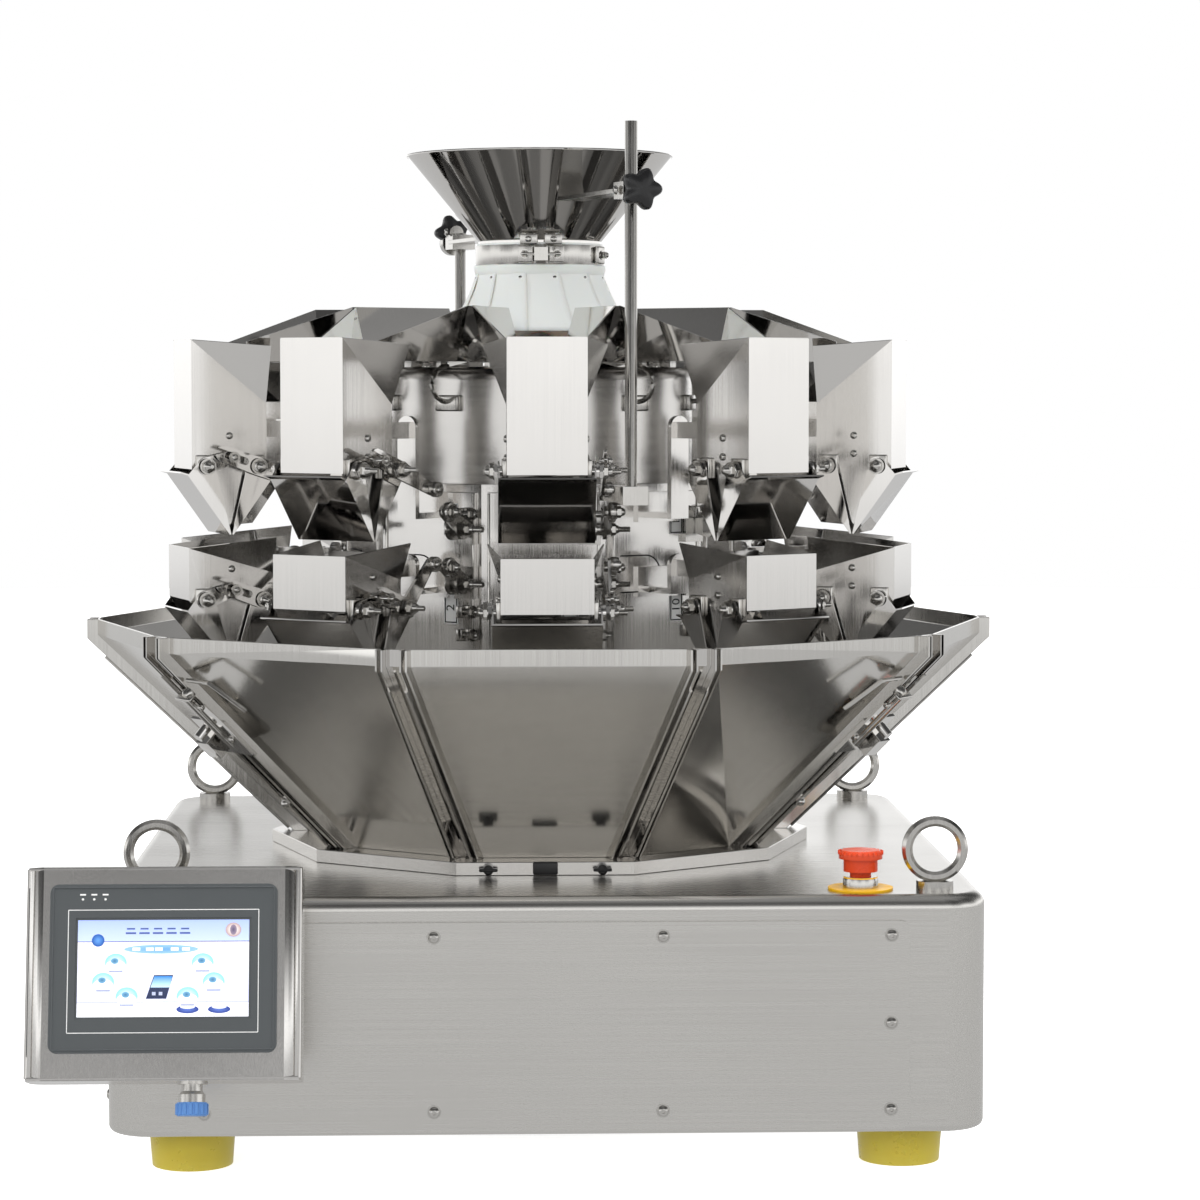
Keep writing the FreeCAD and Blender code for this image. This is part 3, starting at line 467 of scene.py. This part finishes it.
def crankHardware():
    nut, stud = capNut(5.4), studEnd(2.8, 13)
    parts = []
    for u, z in crank["shafts"]:
        parts.append(placed(nut, shift(crank["shaftEnd"], -u, z) @ toRight))
        parts.append(placed(stud, shift(crank["shaftEnd"] + 6, -u, z) @ toRight))
    for u, z in crank["rollers"]:
        wheel = lathePart(crank["wheelProfile"], 24)
        parts.append(placed(wheel, shift(crank["rollerEnd"] - crank["wheel"], -u, z) @ toRight))
        parts.append(placed(nut, shift(crank["rollerEnd"], -u, z) @ toRight))
    for u, z in crank["stops"]:
        # buffer stud in a small block on the column face, with its nut
        parts.append(placed(lathePart(crank["stopRod"], 12), shift(crank["stopFoot"], -u, z) @ toRight))
        parts.append(placed(capNut(5.0), shift(crank["stopNut"], -u, z) @ toRight))
        parts.append(boxPart((40, -u - 6, z - 6), (47, -u + 6, z + 6), 1.0))
    makePiece("crank_nuts", [atHeads(parts)], steel["turnedSteel"])


cover = {"across": (-318.0, -106.0, 106.0, 318.0), "low": 63.0, "high": 226.0, "middle": 144.0,
         "face": 413.0, "washer": [(0, 0), (6.6, 0), (6.6, 0.8), (0, 0.8)], "thick": 0.8, "screw": 5.2}


def coverScrews():
    spots = [(x, z) for x in cover["across"] for z in (cover["low"], cover["high"])]
    spots += [(x, cover["middle"]) for x in (cover["across"][0], cover["across"][-1])]
    screw = screwedDisc(cover["washer"], cover["thick"], cover["screw"])
    side = joinParts([placed(screw, shift(x, -cover["face"], z) @ toFront) for x, z in spots])
    makePiece("cover_screws", [placed(side, *[spin(k * math.pi / 2) @ toMetres for k in range(4)])],
              steel["turnedSteel"])


def labelNumber(text, size):
    # digits as a flat mesh facing +Z
    curve = bpy.data.curves.new("digits", "FONT")
    curve.body = text
    curve.size = size
    curve.align_x, curve.align_y = "CENTER", "CENTER"
    curve.resolution_u = 3
    holder = bpy.data.objects.new("digits", curve)
    scene.collection.objects.link(holder)
    bpy.context.view_layer.update()
    mesh = bpy.data.meshes.new_from_object(holder.evaluated_get(bpy.context.evaluated_depsgraph_get()))
    points = np.array([v.co for v in mesh.vertices])
    faces = [list(p.vertices) for p in mesh.polygons]
    bpy.data.objects.remove(holder)
    bpy.data.meshes.remove(mesh)
    quads = np.array([(f + [f[-1]])[:4] if len(f) == 3 else f[:4] for f in faces])
    return points, quads


label = {"long": 16.0, "tall": 8.5, "thick": 0.5, "lineOut": (15.0, 7.5), "line": 1.2, "lineTop": 0.75,
         "digits": 14.0, "ink": 0.72, "v": 26.0, "face": 190.1, "heights": (602.0, 515.0)}


def outlineBoxes(outX, outY, width, low, high):
    # four thin bars round a plate
    return [boxPart((-outX, -outY, low), (outX, width - outY, high)),
            boxPart((-outX, outY - width, low), (outX, outY, high)),
            boxPart((-outX, -outY, low), (width - outX, outY, high)),
            boxPart((outX - width, -outY, low), (outX, outY, high))]


def headLabels():
    # a printed plate with the head's number beside each of its two drives
    plates, inks = [], []
    plate = boxPart((-label["long"], -label["tall"], 0), (label["long"], label["tall"], label["thick"]), 0.2)
    lines = outlineBoxes(*label["lineOut"], label["line"], label["thick"], label["lineTop"])
    for head in allHeads:
        digits = labelNumber(str((10 - head) % 10 + 1), label["digits"])
        for z in label["heights"]:
            spot = shift(label["v"], -label["face"], z)
            stand = spin(head * headStep) @ toMetres @ spot @ toFront @ spin(math.pi / 2)
            plates.append(placed(plate, stand))
            inks.append(placed(digits, stand @ shift(0, 0, label["ink"])))
            inks += [placed(line, stand) for line in lines]
    makePiece("number_plates", plates, whiteVinyl)
    makePiece("number_ink", inks, blackInk)


slotLine = {"face": -190.2, "v": -12.0, "z": 548.0, "radius": 18.0, "start": -44.0, "half": 0.7}
coverEdge = {"v": 53.6, "half": 1.4, "out": -191.6, "in": -189.8, "low": 345.0, "high": 628.0, "edge": 0.6}


def columnDetail():
    # a D-shaped hand slot scored in each cover and the bright folded edge of the cover
    s = slotLine
    turn = np.linspace(-math.pi / 2, math.pi / 2, 13)
    arc = np.stack([s["v"] + s["radius"] * np.cos(turn), np.full(13, s["face"]),
                    s["z"] + s["radius"] * np.sin(turn)], -1)
    ends = [[[s["start"], s["face"], s["z"] + side * s["radius"]]] for side in (-1, 1)]
    slot = tubePart(np.concatenate([ends[0], arc, ends[1]]), s["half"], 6)
    makePiece("column_slots", [atHeads([slot])], blackInk)
    e = coverEdge
    edges = [boxPart((v - e["half"], e["out"], e["low"]), (v + e["half"], e["in"], e["high"]), e["edge"])
             for v in (-e["v"], e["v"])]
    makePiece("column_edges", [atHeads(edges)], steel["turnedSteel"])


petals = {"count": 12, "top": 853.5, "low": 788.5, "throat": 64.9, "flare": 30.5, "curve": 1.55,
          "half": 18.5, "lap": 1.3, "sheet": 1.0, "rivetAt": (66.6, 842.0), "rivetTurn": 12.0,
          "hoop": [(63.6, 852), (63.6, 878), (64.4, 878), (64.4, 857), (67.5, 855.5), (67.5, 851.5),
                   (66.2, 846), (65.2, 846), (63.6, 852)]}


def petalPieces():
    # each petal: rows go down the flare, columns across it; one edge lies over the next petal
    s = np.linspace(0, 1, 15)[:, None]
    t = np.linspace(-1, 1, 9)[None]
    z = petals["top"] + (petals["low"] - petals["top"]) * s + 0 * t
    fade = np.minimum(1, s * 4)
    r = petals["throat"] + petals["flare"] * s ** petals["curve"] + fade * (petals["lap"] * t + 0.6)
    angle = math.radians(petals["half"]) * t * (1 - 0.12 * (1 - s)) + 0.06 * s
    flap = gridPart(np.stack([r * np.sin(angle), -r * np.cos(angle), z], -1))
    turns = [spin(k * 2 * math.pi / petals["count"]) @ toMetres for k in range(petals["count"])]
    skirt = makePiece("petals", [placed(flap, *turns)], petalPlastic, "infeed", 60)
    wall = skirt.modifiers.new("wall", "SOLIDIFY")
    wall.thickness = petals["sheet"] * mm
    wall.offset = -1
    hoop = lathePart(petals["hoop"], 64)
    ring = makePiece("petal_hoop", [placed(hoop, toMetres)], petalPlastic, "infeed")
    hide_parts("petal_skirt")
    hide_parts("petal_skirt")
    rivet = placed(lathePart([(0, 0), (2.6, 0), (2.4, 0.9), (1.4, 1.5), (0, 1.7)], 12),
                   shift(0, -petals["rivetAt"][0], petals["rivetAt"][1]) @ toFront)
    atSeams = [m @ spin(math.radians(petals["rivetTurn"])) for m in turns]
    makePiece("petal_rivets", [placed(rivet, *atSeams)], steel["turnedSteel"], "infeed")


collar = {"clasps": (-13, 13, 62, 180), "wings": (-10, 10), "z": 866.0, "face": 71.0, "wingZ": 881.0,
          "wingFace": 73.0, "bar": 18.0, "barOut": 74.0, "barCurve": 0.004, "barRadius": 1.6}
rimBead = {"radius": 136.0, "z": 967.6, "half": 1.3}


def collarHardware():
    # screw clasps on the clamp band, wing plates over them, and the edge bead at the funnel's rim
    c = collar
    clasp = joinParts([boxPart((-8, -c["face"], 857), (8, -66, 875), 1.6),
                       placed(capNut(3.6), shift(0, -c["face"], c["z"]) @ toFront)])
    wing = joinParts([boxPart((-9, -c["wingFace"], 876), (9, -70.5, 886), 1.0),
                      placed(buttonScrew(3.4), shift(0, -c["wingFace"], c["wingZ"]) @ toFront)])
    parts = [placed(clasp, spin(math.radians(angle))) for angle in c["clasps"]]
    parts += [placed(wing, spin(math.radians(angle))) for angle in c["wings"]]
    across = np.linspace(-c["bar"], c["bar"], 9)
    parts.append(tubePart([(x, c["barCurve"] * x * x - c["barOut"], c["z"]) for x in across],
                          c["barRadius"], 8))
    makePiece("collar_clasps", [placed(joinParts(parts), toMetres)], steel["turnedSteel"], "infeed")
    turn = np.linspace(0, 2 * math.pi, 96, endpoint=False)
    ring = np.stack([rimBead["radius"] * np.cos(turn), rimBead["radius"] * np.sin(turn),
                     np.full(96, rimBead["z"])], -1)
    bead = tubePart(ring, rimBead["half"], 8, closed=True)
    makePiece("funnel_bead", [placed(bead, toMetres)], steel["mirrorSheetSteel"], "infeed")


knob = {"radius": 17.5, "lobes": 5, "depth": 0.17, "places": ((18.0, 920.0), (198.0, 901.0)), "start": 288.0,
        "profile": [(0, 0), (0.7, 0), (0.92, 1.5), (1, 4), (1, 11), (0.9, 14.5), (0.62, 16.4), (0.4, 17),
                    (0, 17)],
        "neck": [(0, 0), (8, 0), (8, 7), (0, 7)], "gripSide": 15.0, "gripOut": 268.0}


def starKnobs():
    # five-lobed grip: the circle's radius swells and sinks five times round
    profile = np.array(knob["profile"])
    turn = np.linspace(0, 2 * math.pi, 60, endpoint=False)[None]
    wave = 1 + knob["depth"] * np.cos(knob["lobes"] * turn)
    r = knob["radius"] * profile[:, :1] * wave
    points = np.stack([r * np.cos(turn), r * np.sin(turn), profile[:, 1:] + 0 * turn], -1)
    part = gridPart(points, wrapV=True)
    grips, seats = [], []
    for angle, z in knob["places"]:
        stand = spin(math.radians(angle)) @ toMetres
        grips.append(placed(part, stand @ shift(0, -knob["start"], z) @ toFront))
        seats.append(placed(lathePart(knob["neck"], 20), stand @ shift(0, 7 - knob["start"], z) @ toFront))
        for side, turned in ((1, toRight), (-1, toLeft)):
            spot = shift(side * knob["gripSide"], -knob["gripOut"], z)
            seats.append(placed(buttonScrew(4.4), stand @ spot @ turned))
    makePiece("knob_grips", grips, blackPhenolic, "infeed")
    makePiece("knob_seats", seats, steel["turnedSteel"], "infeed")


chute = {"low": (237.8, 275.0), "high": (453.4, 479.0), "rods": (0.06, 0.5, 0.93), "rodOut": 13.6,
         "rodHalf": 1.7, "rodV": 8.5, "corners": (1.5, 3.5, 6.5, 8.5)}
thumb = {"x": (-55.0, 55.0), "face": 264.5, "z": 268.5}
chuteLow, chuteHigh = np.array(chute["low"]), np.array(chute["high"])
chuteAlong = (chuteHigh - chuteLow) / np.linalg.norm(chuteHigh - chuteLow)
chuteTilt = spin(math.pi / 2 + math.atan2(chuteAlong[1], chuteAlong[0]), "X")


def seamSpot(share, out, v):
    # a point on the chute's slope: share of the way up, so far off the sheet, v to the side
    u, z = chuteLow + (chuteHigh - chuteLow) * share + out * np.array([chuteAlong[1], -chuteAlong[0]])
    return (v, -u, z)


def latchParts(side):
    # wing screw, catch nut, angled strip and hinge of a latch that opens to one side of its seam
    wing = joinParts([lathePart([(0, 0), (6, 0), (6, 5), (4.5, 8), (0, 8)], 16),
                      boxPart((-13, -1.6, 4), (13, 1.6, 13), 1.4)])
    strip = [seamSpot(0.90, 8, side * 20), seamSpot(0.90, 8, side * 58), seamSpot(0.76, 6, side * 74)]
    hinge = [seamSpot(0.60, 18, side * 7), seamSpot(0.86, 18, side * 7)]
    screws = [shift(*seamSpot(share, 17.6, side * 20)) @ chuteTilt for share in (0.64, 0.80)]
    return joinParts([placed(wing, shift(*seamSpot(0.87, 14, side * 22)) @ chuteTilt),
                      placed(capNut(5.5), shift(*seamSpot(0.30, 13, side * 2)) @ chuteTilt),
                      tubePart(strip, 2.2, 8), tubePart(hinge, 3.0, 12), placed(buttonScrew(3.6), *screws)])


def chuteHardware():
    # rods along the seams, latches on the opening ones, thumb screws and catch under the end panels
    rods = [tubePart([seamSpot(share, chute["rodOut"], v) for share in chute["rods"]], chute["rodHalf"], 8)
            for v in (-chute["rodV"], chute["rodV"])]
    makePiece("seam_rods", [atHeads(rods, allHeads, 0.5)], steel["turnedSteel"])
    latches = [atHeads([latchParts(1 if corner > 5 else -1)], [corner]) for corner in chute["corners"]]
    makePiece("latch_screws", latches, steel["turnedSteel"])
    screw = joinParts([lathePart([(0, 0), (5, 0), (5, 9), (3, 11), (0, 11)], 14),
                       boxPart((-9, -1.5, 3), (9, 1.5, 12), 1.2)])
    screws = [placed(screw, shift(x, -thumb["face"], thumb["z"]) @ toFront) for x in thumb["x"]]
    makePiece("panel_thumb_screws", [atHeads(screws, (0, 5))], blackPhenolic)
    magnet = boxPart((-12, -268, 263), (12, -263, 275.5), 1.5)
    makePiece("panel_magnets", [atHeads([magnet], (0, 5))], blackPhenolic)


panLever = {"u": 160.0, "z": 735.0, "out": 26.0, "rise": 18.0, "half": 2.6, "boltsV": (-30, 30),
            "boltsU": 130.0, "boltsZ": 752.0}


def panDetail():
    # clamp lever and bolt under each pan, down to the rim of the drum
    k = panLever
    arc = [(0, -k["u"] - k["out"] * math.sin(a), k["z"] + k["rise"] * math.cos(a))
           for a in np.linspace(0, math.pi, 9)]
    parts = [tubePart(arc, k["half"], 8), boxPart((-14, -163, 708), (14, -156.2, 724), 2)]
    parts += [placed(capNut(5.0), shift(v, -k["boltsU"], k["boltsZ"])) for v in k["boltsV"]]
    makePiece("pan_levers", [atHeads(parts)], steel["turnedSteel"])


for make in (hopperHardware, rearLinks, crankHardware, coverScrews, headLabels, columnDetail, petalPieces,
             collarHardware, starKnobs, chuteHardware, panDetail):
    make()
    print("made:", make.__name__)


# ---- operator panel ----

panel = {"x": -345.0, "faceY": -541.0, "low": 120.0, "lean": -14.0, "display": (-76.0, 76.0, 56.0, 142.0),
         "line": (-84.5, 84.5, 42.0, 151.0)}
panelPlace = (toMetres @ shift(panel["x"], panel["faceY"], panel["low"])
              @ spin(math.radians(panel["lean"]), "X"))


def tinted(name, shapes, material):
    # flat shapes, each an (rows, columns, 2) grid with colours, stacked in thin layers before the panel
    points, quads, colors, start = [], [], [], 0
    for grid, tones, layer in shapes:
        depth = np.full(grid.shape[:2] + (1,), -3.25 - 0.06 * layer)
        flat = np.concatenate([grid[..., :1], depth, grid[..., 1:]], -1)
        p, q = gridPart(flat)
        a, b, c = p[q[:, 0]], p[q[:, 1]], p[q[:, 2]]
        facing = np.cross(b - a, c - b)[:, 1].sum()
        points.append(p)
        quads.append((q if facing < 0 else q[:, ::-1]) + start)
        colors.append(np.broadcast_to(tones, grid.shape[:2] + (4,)).reshape(-1, 4))
        start += len(p)
    spots = placed((np.concatenate(points), np.concatenate(quads)), panelPlace)
    mesh = bpy.data.meshes.new(name)
    mesh.from_pydata(spots[0], [], spots[1])
    tone = mesh.color_attributes.new("tone", "FLOAT_COLOR", "POINT")
    tone.data.foreach_set("color", np.concatenate(colors).astype(np.float32).ravel())
    mesh.materials.append(material)
    piece = bpy.data.objects.new(name, mesh)
    scene.collection.objects.link(piece)
    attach(piece, "frame")
    return piece


def band(x0, x1, z0, z1, low, high, layer):
    # rectangle whose colour runs from the lower edge to the upper
    grid = np.array([[(x0, z0), (x1, z0)], [(x0, z1), (x1, z1)]], float)
    tones = np.array([[linear(low)] * 2, [linear(high)] * 2])
    return grid, tones, layer


def spotShape(x, z, rx, rz, inner, outer, layer):
    # ellipse whose colour runs from its middle to its rim
    turn = np.linspace(0, 2 * math.pi, 25)
    rim = np.stack([x + rx * np.cos(turn), z + rz * np.sin(turn)], -1)
    grid = np.stack([np.broadcast_to((x, z), rim.shape), rim])
    tones = np.stack([np.broadcast_to(linear(inner), (25, 4)), np.broadcast_to(linear(outer), (25, 4))])
    return grid, tones, layer


def displayShapes():
    x0, x1, z0, z1 = panel["display"]
    shapes = [band(x0, x1, z0, z0 + 13, "#f4f5fc", "#eceefa", 0),
              band(x0, x1, z0 + 13, z0 + 42, "#cfd3f0", "#dfe1f2", 0),
              band(x0, x1, z0 + 42, z1 - 19, "#d9daec", "#eceaf2", 0),
              band(x0, x1, z1 - 19, z1, "#b9c8f2", "#9fb2ea", 0),
              band(x0, x1, z1 - 19.6, z1 - 18.9, "#54508c", "#54508c", 1),
              band(x0, x1, z0 + 12.7, z0 + 13.2, "#9a9cc0", "#9a9cc0", 1),
              spotShape(-58, z1 - 18, 5.6, 5.6, "#5a92d8", "#1f4f9c", 2),
              spotShape(-2, z1 - 26, 33, 4.0, "#5f95dc", "#8db7ee", 2)]
    for x in (-24, -12, -4, 10, 20):
        shapes.append(band(x - 3.4, x + 3.4, z1 - 27.4, z1 - 24.6, "#e8effa", "#f6f9fd", 3))
    for x, z in ((-42, 104), (-53, 87), (-32, 74), (35, 104), (45, 87), (22, 74)):
        shapes.append(spotShape(x, z, 9.6, 8.2, "#e6f4fa", "#7ccbe0", 2))
        shapes.append(spotShape(x, z - 2.6, 9.0, 5.2, "#f3f6fb", "#e4eaf6", 3))
        shapes.append(spotShape(x - 1, z + 1.6, 3.4, 2.6, "#3f6d96", "#6fa3c4", 4))
        shapes.append(band(x - 6, x + 6, z - 8.2, z - 6.8, "#9aa0bd", "#9aa0bd", 4))
    body = np.array([[(-15, 72), (3, 72)], [(-8, 93), (9, 93)]], float)
    shapes.append((body, np.array([[linear("#2b3350")] * 2, [linear("#39425f")] * 2]), 2))
    glass = np.array([[(-11, 82), (6, 82)], [(-7.6, 92), (8.2, 92)]], float)
    shapes.append((glass, np.array([[linear("#bfe3f4")] * 2, [linear("#2f7fd0")] * 2]), 3))
    for x in (-8, -2):
        shapes.append(band(x - 1.6, x + 1.6, 75, 78, "#aab2cc", "#aab2cc", 4))
    for x in (22, 50):
        shapes.append(spotShape(x, z0 + 6.5, 10, 3.6, "#5b73c0", "#2d3f86", 2))
        shapes.append(spotShape(x, z0 + 8.6, 6.6, 1.7, "#eef1fb", "#d5dcf3", 3))
    for x in (-30, -18, -6, 6, 18):
        # plain bars where the heading stands
        shapes.append(band(x - 3.6, x + 5.6, z1 - 12.5, z1 - 10.9, "#4a5a92", "#4a5a92", 2))
        shapes.append(band(x - 2.6, x + 4.6, z1 - 8.5, z1 - 7.1, "#4a5a92", "#4a5a92", 2))
    shapes.append(spotShape(62, z1 - 9, 7.0, 6.4, "#f3ece8", "#a98f90", 2))
    shapes.append(spotShape(62, z1 - 9, 3.0, 4.6, "#57506a", "#8d7f92", 3))
    return shapes


def borderTubes(halfX, low, high, y, radius, segments):
    # a round bead along the four sides of an upright rectangle
    rim = np.array([(-halfX, low), (halfX, low), (halfX, high), (-halfX, high)])
    sides = zip(rim, np.roll(rim, -1, 0))
    return [tubePart([(x, y, z) for x, z in (a, (a + b) / 2, b)], radius, segments) for a, b in sides]


def panelPieces():
    tinted("display_picture", displayShapes(), litDisplay)
    x0, x1, z0, z1 = panel["line"]
    w = 0.35
    lines = [boxPart((x0, -4.12, z - w), (x1, -3.95, z + w)) for z in (z0, z1)]
    lines += [boxPart((x - w, -4.12, z0), (x + w, -3.95, z1)) for x in (x0, x1)]
    leds = [placed(lathePart([(0, 0), (1.1, 0), (0.8, 0.3), (0, 0.4)], 12), shift(x, -4, 160.5) @ toFront)
            for x in (-72, -62, -52)]
    leds += [boxPart((x - 2.6, -4.1, 164), (x + 2.6, -3.95, 165.4)) for x in (-72, -62, -52)]
    makePiece("panel_print", [placed(joinParts(lines + leds), panelPlace)], whiteVinyl)
    ridge = borderTubes(98.0, 27.0, 171.0, -4.0, 0.9, 8)
    makePiece("bezel_ridge", [placed(joinParts(ridge), panelPlace)], bezelAbs)
    # rolled edge round the box face, and the screws of its back
    roll = borderTubes(120.9, 2.0, 188.0, 1.2, 1.4, 10)
    back = [placed(buttonScrew(4.0), shift(x, 68, z) @ spin(-math.pi / 2, "X"))
            for x in (-108, 108) for z in (14, 95, 176)]
    makePiece("panel_edges", [placed(joinParts(roll + back), panelPlace)], steel["mirrorSheetSteel"])
    ribs = [boxPart((24 + 13.4 * math.cos(a) - 1.4, 34 + 13.4 * math.sin(a) - 1.4, -29),
                    (24 + 13.4 * math.cos(a) + 1.4, 34 + 13.4 * math.sin(a) + 1.4, -19), 0.5)
            for a in np.linspace(0, 2 * math.pi, 16, False)]
    gland = lathePart([(0, -18.2), (12, -18.2), (12, -11), (9.5, -8), (9.5, -2), (14, -2), (14, 0), (0, 0)],
                      24)
    makePiece("connector_ribs", [placed(joinParts(ribs), panelPlace)], blueNylon)
    makePiece("connector_neck", [placed(gland, panelPlace @ shift(24, 34, 0))], steel["turnedSteel"])


panelPieces()
print("operator panel made")


def stopPieces():
    # ribbed rim of the mushroom button, and the turned collar under it
    ribs = [boxPart((294 + 20.6 * math.cos(a) - 0.9, -364 + 20.6 * math.sin(a) - 0.9, 295),
                    (294 + 20.6 * math.cos(a) + 0.9, -364 + 20.6 * math.sin(a) + 0.9, 298.5), 0.4)
            for a in np.linspace(0, 2 * math.pi, 24, False)]
    makePiece("stop_ribs", [placed(joinParts(ribs), toMetres)], redAbs, "emergency_stop")
    neck = lathePart([(16.6, 264), (16.6, 271), (15.6, 274.2), (10.2, 274.2)], 32)
    makePiece("stop_collar", [placed(neck, toMetres @ shift(294, -364, 0))], steel["turnedSteel"])


stopPieces()
print("emergency stop made")


# ---- room, light and camera ----

def areaLight(name, spec):
    data = bpy.data.lights.new(name, "AREA")
    data.shape = "RECTANGLE"
    data.size, data.size_y = spec["size"]
    data.energy = spec["power"]
    lamp = bpy.data.objects.new(name, data)
    lamp.location = spec["at"]
    lamp.rotation_euler = (Vector(spec["to"]) - Vector(spec["at"])).to_track_quat("-Z", "Y").to_euler()
    lamp.visible_glossy = False
    scene.collection.objects.link(lamp)
    return lamp


lights = {
    "frontBox": {"at": (-1.6, -4.4, 2.2), "to": (0, 0, 0.6), "size": (2.6, 1.8), "power": 55},
    "rightBox": {"at": (3.4, -1.2, 1.6), "to": (0, 0, 0.6), "size": (1.2, 2.2), "power": 26},
    "leftBox": {"at": (-3.4, -0.8, 1.4), "to": (0, 0, 0.6), "size": (1.2, 2.2), "power": 26},
    "topBox": {"at": (0.3, -0.4, 3.6), "to": (0, 0, 0.5), "size": (1.8, 1.4), "power": 60},
    "backBox": {"at": (0.6, 3.6, 2.0), "to": (0, 0, 0.6), "size": (2.4, 1.2), "power": 30},
}
for name, spec in lights.items():
    areaLight(name, spec)


room = {
    "reflected": 1.45,
    # brightness of the reflected room by height: straight down 0, horizon 0.5, overhead 1
    "stops": [(0.0, 0.22), (0.40, 0.3), (0.47, 0.62), (0.5, 0.9), (0.57, 1.0), (0.64, 0.5), (0.72, 0.1),
              (0.86, 0.05), (1.0, 0.3)],
    "panels": 0.55, "diffuse": 0.85}


def buildWorld():
    # white to the eye, even for matt surfaces; to reflections a bright band at eye level under a dark
    # ceiling, broken by upright panels all round
    world = bpy.data.worlds.new("room")
    scene.world = world
    world.use_nodes = True
    tree = world.node_tree
    tree.nodes.clear()
    place = addNode(tree, "ShaderNodeTexCoord")
    split = addNode(tree, "ShaderNodeSeparateXYZ", {}, {"Vector": (place, "Generated")})
    lift = addNode(tree, "ShaderNodeMapRange", {"From Min": -1.0, "From Max": 1.0}, {"Value": (split, "Z")})
    shade = addNode(tree, "ShaderNodeValToRGB", {}, {"Fac": (lift, "Result")})
    while len(shade.color_ramp.elements) < len(room["stops"]):
        shade.color_ramp.elements.new(0.5)
    for element, (position, value) in zip(shade.color_ramp.elements, room["stops"]):
        element.position = position
        element.color = (value, value, value, 1)
    around = addNode(tree, "ShaderNodeMath", {"operation": "ARCTAN2"}, {0: (split, "X"), 1: (split, "Y")})
    waves = addNode(tree, "ShaderNodeMath", {"operation": "MULTIPLY", 1: 7.0}, {0: (around, "Value")})
    swing = addNode(tree, "ShaderNodeMath", {"operation": "SINE"}, {0: (waves, "Value")})
    edge = addNode(tree, "ShaderNodeMapRange", {"From Min": -0.15, "From Max": 0.15, "To Min": room["panels"],
                                                "To Max": 1.0}, {"Value": (swing, "Value")})
    high = addNode(tree, "ShaderNodeMapRange", {"From Min": 0.10, "From Max": 0.16}, {"Value": (split, "Z")})
    panel = addNode(tree, "ShaderNodeMix", {"data_type": "FLOAT"}, {"Factor": (high, "Result"),
                                                                    "B": (edge, "Result")})
    panel.inputs["A"].default_value = 1.0
    lit = addNode(tree, "ShaderNodeMix", {"data_type": "RGBA", "blend_type": "MULTIPLY"})
    lit.inputs["Factor"].default_value = 1.0
    tree.links.new(shade.outputs["Color"], lit.inputs["A"])
    tree.links.new(panel.outputs["Result"], lit.inputs["B"])
    seen = addNode(tree, "ShaderNodeLightPath")
    white = addNode(tree, "ShaderNodeBackground", {"Color": (1, 1, 1, 1), "Strength": 1.0})
    even = addNode(tree, "ShaderNodeBackground", {"Color": (1, 1, 1, 1), "Strength": room["diffuse"]})
    glossy = addNode(tree, "ShaderNodeBackground", {"Strength": room["reflected"]},
                     {"Color": (lit, "Result")})
    matt = addNode(tree, "ShaderNodeMixShader", {}, {0: (seen, "Is Glossy Ray"), 1: (even, "Background"),
                                                     2: (glossy, "Background")})
    mixed = addNode(tree, "ShaderNodeMixShader", {}, {0: (seen, "Is Camera Ray"), 1: (matt, "Shader"),
                                                      2: (white, "Background")})
    addNode(tree, "ShaderNodeOutputWorld", {}, {"Surface": (mixed, "Shader")})


buildWorld()

floorLook = {"radius": 9.0, "seen": "#ffffff", "glow": 0.75, "reflected": 0.62}


def buildFloor():
    # pale floor, a shallow disc of rings that glows a little to the eye so that it meets the white room
    radii = np.linspace(0, floorLook["radius"], 25)[:, None]
    turn = np.linspace(0, 2 * math.pi, 64, endpoint=False)[None]
    points = np.stack([radii * np.cos(turn), radii * np.sin(turn), 0 * radii * turn], -1)
    part = gridPart(points, wrapV=True)
    mesh = bpy.data.meshes.new("floor")
    mesh.from_pydata(part[0], [], part[1])
    mesh.validate()
    floor = bpy.data.objects.new("floor", mesh)
    scene.collection.objects.link(floor)
    paint = {"Roughness": 0.6, "Specular IOR Level": 0.2, "Base Color": linear(floorLook["seen"])}
    material, tree, shader, place = newMaterial("paleFloorPaint", paint)
    seen = addNode(tree, "ShaderNodeLightPath")
    glow = addNode(tree, "ShaderNodeEmission", {"Strength": floorLook["glow"]})
    both = addNode(tree, "ShaderNodeAddShader", {}, {0: (shader, "BSDF"), 1: (glow, "Emission")})
    grey = addNode(tree, "ShaderNodeEmission", {"Strength": floorLook["reflected"]})
    mixed = addNode(tree, "ShaderNodeMixShader", {}, {0: (seen, "Is Camera Ray"), 1: (grey, "Emission"),
                                                      2: (both, "Shader")})
    tree.links.new(mixed.outputs["Shader"], tree.nodes["Material Output"].inputs["Surface"])
    mesh.materials.append(material)


buildFloor()

view = {"at": (-0.0655, -3.633, 0.739), "lens": 105.5, "heading": 2.01, "pitch": -3.58}
cameraData = bpy.data.cameras.new("camera")
cameraData.lens = view["lens"]
cameraData.sensor_width = 36
camera = bpy.data.objects.new("camera", cameraData)
camera.location = view["at"]
camera.rotation_euler = (math.radians(90 + view["pitch"]), 0, math.radians(-view["heading"]))
scene.collection.objects.link(camera)
scene.camera = camera
scene.view_settings.view_transform = "Standard"
print("room, light and camera set")
